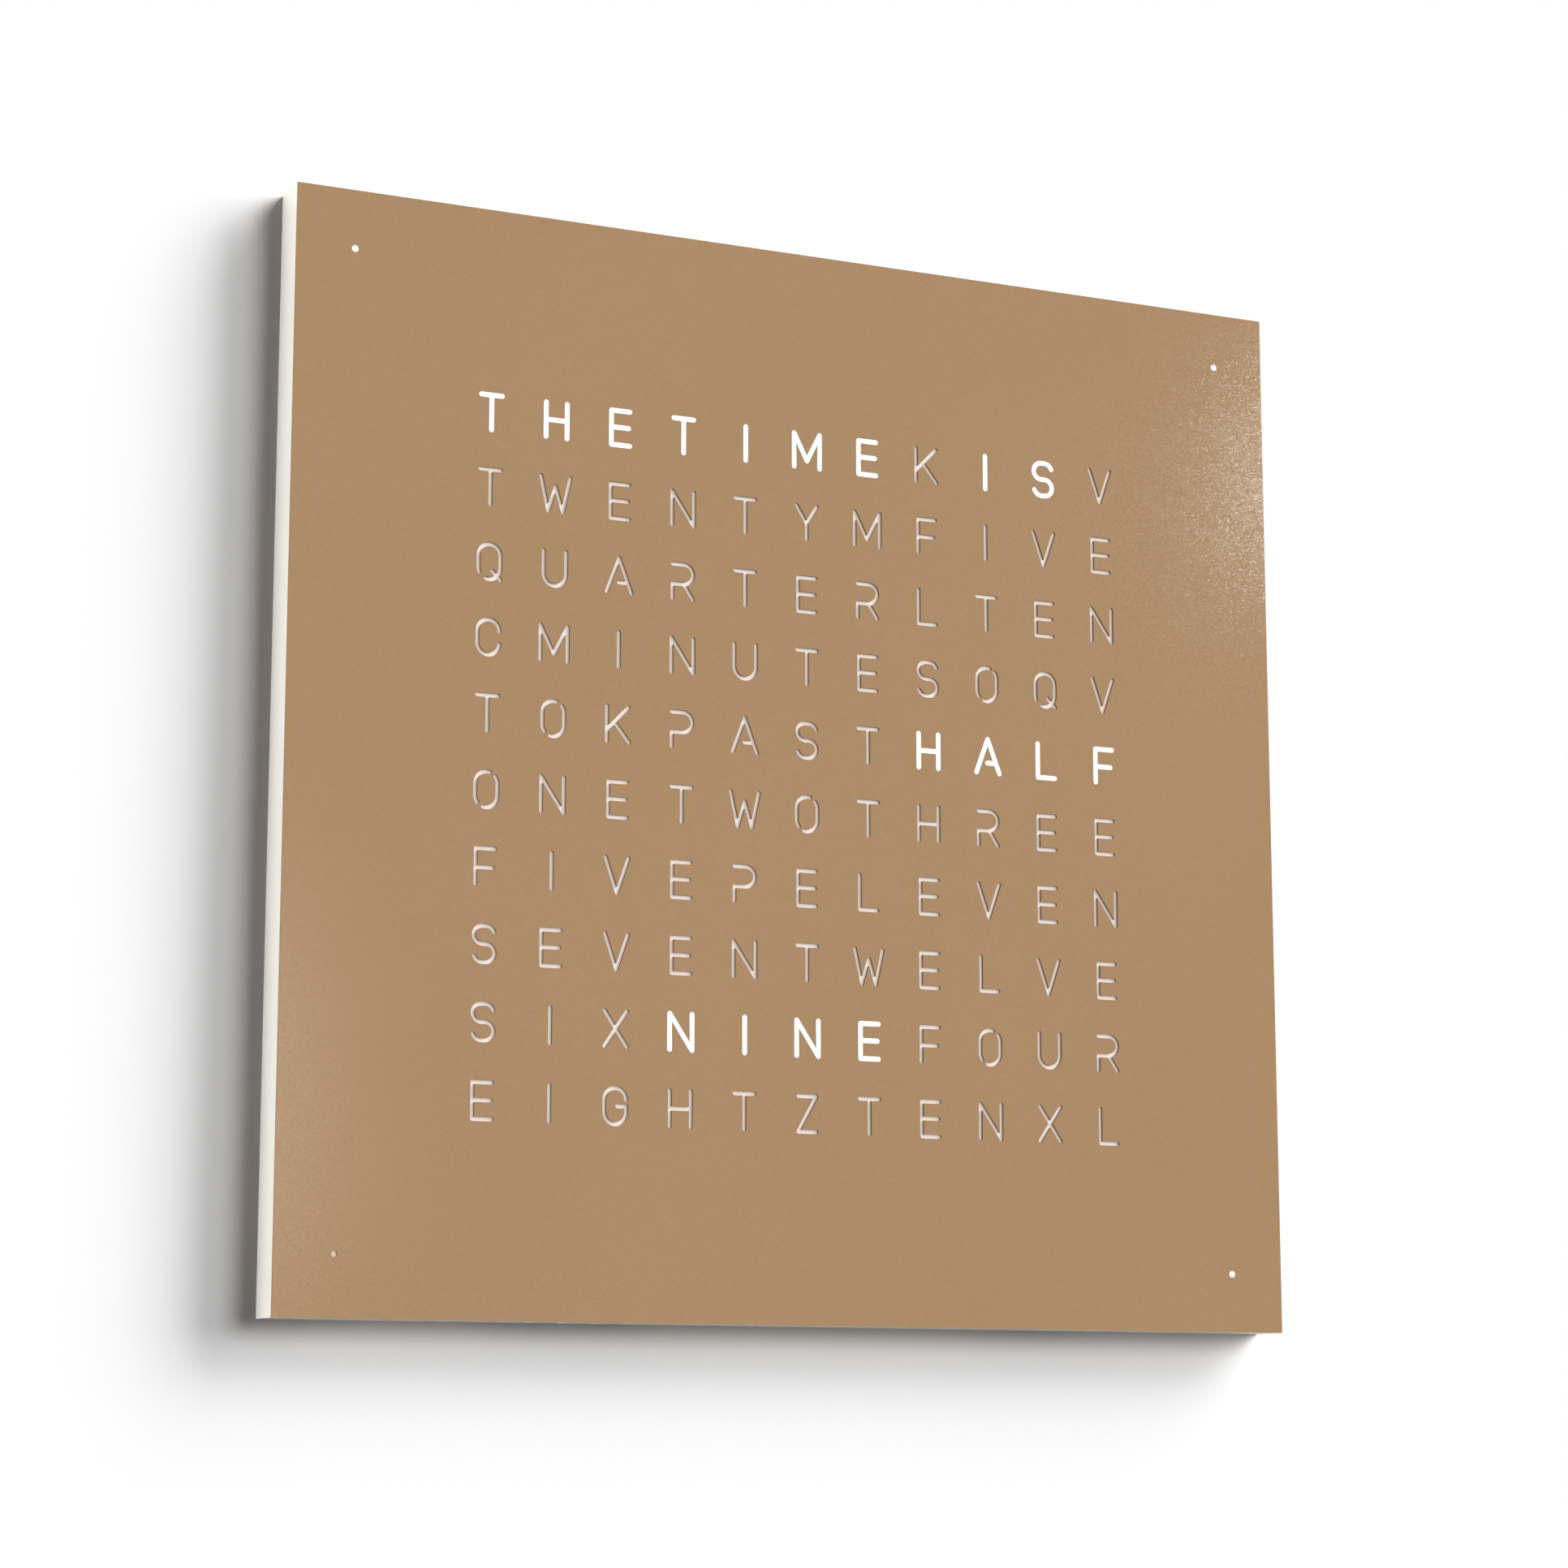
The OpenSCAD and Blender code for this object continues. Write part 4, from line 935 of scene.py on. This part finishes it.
finish(tree, {"Base Color": milk.outputs["Result"], "Roughness": rough.outputs[0],
              "Normal": matt.outputs[0], "Emission Color": glow.outputs["Result"],
              "Emission Strength": 1.0})
wear("diffuser_sheet", opal)

# ---------------------------------------------------------------- magnets
# Eight nickel-plated neodymium discs, glued into the frame's rim. They pull on the steel cover,
# which lifts off them by hand.
nickel = coated("bright_nickel_plate", "#CFCBC3", 0.16, 0.6, 0.003, tone="#B0ABA0", cloud=0.5, Metallic=1.0)
discs = recast("magnets", "disc_magnets", nickel)
rounded(discs, 0.3, segments=3)
place_on(discs, "housing", "nickel_plated_magnet", "magnets")

# ---------------------------------------------------------------- front cover
# A square of 1 mm steel sheet with the letters and corner dots cut through it by laser, and a
# satin bronze powder coat. Eight magnets in the frame hold it.
FLAKE = 0.5 * MM
FLAKE_LEAN = 0.02
PEEL = 2.2 * MM
SHADE_PATCH = 120 * MM
# Powder coat with metal flakes under a clear layer: an even satin bronze that sparkles only where
# a lamp mirrors. Its cut edges and slot walls are painted darker, a painted shade for the slots'
# shadowed walls. Flakes are about 0.05 mm. They are drawn ten times as wide, so that the sparkle shows.
powder_coat, tree = empty_material("bronze_powder_coat")
place = add(tree, "TexCoord").outputs["Object"]
flake = add(tree, "TexVoronoi", {"Vector": place, "Scale": 1 / FLAKE})
shine = add(tree, "SeparateColor", {"Color": flake.outputs["Color"]}).outputs["Red"]
lean = add(tree, "VectorMath", {0: flake.outputs["Color"], 1: (0.5, 0.5, 0.5)}, operation="SUBTRACT")
slight = add(tree, "VectorMath", {0: lean.outputs[0], "Scale": 2 * FLAKE_LEAN}, operation="SCALE")
leant = add(tree, "VectorMath", {0: add(tree, "NewGeometry").outputs["Normal"], 1: slight.outputs[0]},
            operation="ADD")
flake_normal = add(tree, "VectorMath", {0: leant.outputs[0]}, operation="NORMALIZE")
peel = add(tree, "TexNoise", {"Vector": place, "Scale": 1 / PEEL, "Detail": 2.0})
peel_bump = add(tree, "Bump", {"Strength": 0.2, "Distance": 0.01 * MM, "Height": peel.outputs["Fac"],
                               "Normal": flake_normal.outputs[0]})
cloud = add(tree, "TexNoise", {"Vector": place, "Scale": 1 / SHADE_PATCH, "Detail": 3.0})
speck = add(tree, "Math", {0: shine, 1: 0.5, 2: cloud.outputs["Fac"]}, operation="MULTIPLY_ADD")
flat = add(tree, "Mix", {"Factor": speck.outputs[0], "A": linear("#A58460"), "B": linear("#AA8966")},
           data_type="RGBA")
# Painted shade: the cut edges and slot walls, which don't face front, take the darker #8E7660.
straight = add(tree, "SeparateXYZ", {"Vector": add(tree, "NewGeometry").outputs["Normal"]}).outputs["Y"]
level = add(tree, "Math", {0: straight}, operation="ABSOLUTE")
face_clear_of_painted_shade = add(tree, "MapRange", {"Value": level.outputs[0], "From Min": 0.3, "From Max": 0.7})
base = add(tree, "Mix", {"Factor": face_clear_of_painted_shade.outputs[0], "A": linear("#8E7660"), "B": flat.outputs["Result"]},
           data_type="RGBA")
rough = add(tree, "MapRange", {"Value": peel.outputs["Fac"], "To Min": 0.5, "To Max": 0.6})
finish(tree, {"Base Color": base.outputs["Result"], "Roughness": rough.outputs[0],
              "Specular IOR Level": 0.1, "Normal": peel_bump.outputs[0], "Coat Weight": shine,
              "Coat Roughness": 0.13, "Coat IOR": 1.2,
              "Coat Normal": flake_normal.outputs[0]})
wear("front_cover", powder_coat)

# ---------------------------------------------------------------- locating pins
# Four turned steel pins, welded behind the cover, which find their holes in the frame and keep
# the cover from sliding.
pins = recast("cover_locating_pins", "locating_pins", turned_steel)
rounded(pins, 0.4, segments=3)
place_on(pins, "cover", "stainless_steel", "cover_locating_pins")


# ---------------------------------------------------------------- lit words and corner dots
# The light of the lamps that are on, filling the slots in front of them to a little past their
# edges. The words say the time, and three corner dots the minutes after it.
FRONT_Y = -20 * MM
GLOW_OVER = 0.2 * MM
GLOW_THICK = 0.06 * MM
GLOW_SUNK = 0.02 * MM
OFF_MIDDLE = 10 * MM


def front_outlines():
    """The cover's own outline and that of every opening in its front face, as points in X and Z."""
    sheet = bmesh.new()
    sheet.from_mesh(cad["front_cover"].data)
    bmesh.ops.remove_doubles(sheet, verts=sheet.verts, dist=0.001 * MM)
    front = {f for f in sheet.faces if abs(f.calc_center_median().y - FRONT_Y) < 0.01 * MM}
    rims = {e for f in front for e in f.edges if sum(g in front for g in e.link_faces) == 1}
    outlines = []
    for first in sorted(rims, key=lambda e: e.index):
        if first not in rims:
            continue
        rims.remove(first)
        start, point = first.verts
        loop = [point]
        while point is not start:
            rim = next(e for e in point.link_edges if e in rims)
            rims.remove(rim)
            point = rim.other_vert(point)
            loop.append(point)
        points = [Vector((v.co.x, v.co.z)) for v in loop]
        turn = sum(a.cross(b) for a, b in zip(points, points[1:] + points[:1]))
        outlines.append(points if turn > 0 else points[::-1])
    sheet.free()
    return outlines


def grown(points, over):
    """A closed outline, moved outwards all round."""
    made = []
    for i, point in enumerate(points):
        before = (point - points[i - 1]).normalized()
        after = (points[(i + 1) % len(points)] - point).normalized()
        out = Vector((before.y + after.y, -before.x - after.x)).normalized()
        reach = over / max(0.5, out.dot(Vector((before.y, -before.x))))
        made.append(point + out * reach)
    return made


lamp_white, tree = empty_material("white_lamp_light")
finish(tree, {"Base Color": (0.08, 0.08, 0.08, 1), "Roughness": 0.4, "Emission Color": (1, 1, 1, 1),
              "Emission Strength": 1.0})

glow = bmesh.new()
# The cover's own outline is the one whose middle is the clock's, and it is left out.
for outline in front_outlines():
    middle = sum(outline, Vector((0, 0))) / len(outline)
    if middle.length > OFF_MIDDLE and is_lit(middle.x, middle.y):
        corners = grown(outline, GLOW_OVER)
        lower = [glow.verts.new((p.x, FRONT_Y + GLOW_SUNK, p.y)) for p in corners]
        upper = [glow.verts.new((p.x, FRONT_Y - GLOW_THICK, p.y)) for p in corners]
        glow.faces.new(upper)
        glow.faces.new(lower[::-1])
        for i in range(len(corners)):
            k = (i + 1) % len(corners)
            glow.faces.new((lower[i], lower[k], upper[k], upper[i]))
mesh = bpy.data.meshes.new("lit_words")
glow.to_mesh(mesh)
glow.free()
mesh.materials.append(lamp_white)
lit_words = bpy.data.objects.new("lit_words", mesh)
scene.collection.objects.link(lit_words)
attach(lit_words, "cover")


# ---------------------------------------------------------------- size
# The box of the CAD model and that of the dressed clock, side by side.
size = {"cad": cad_box, "visual": [list(corner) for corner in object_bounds()]}
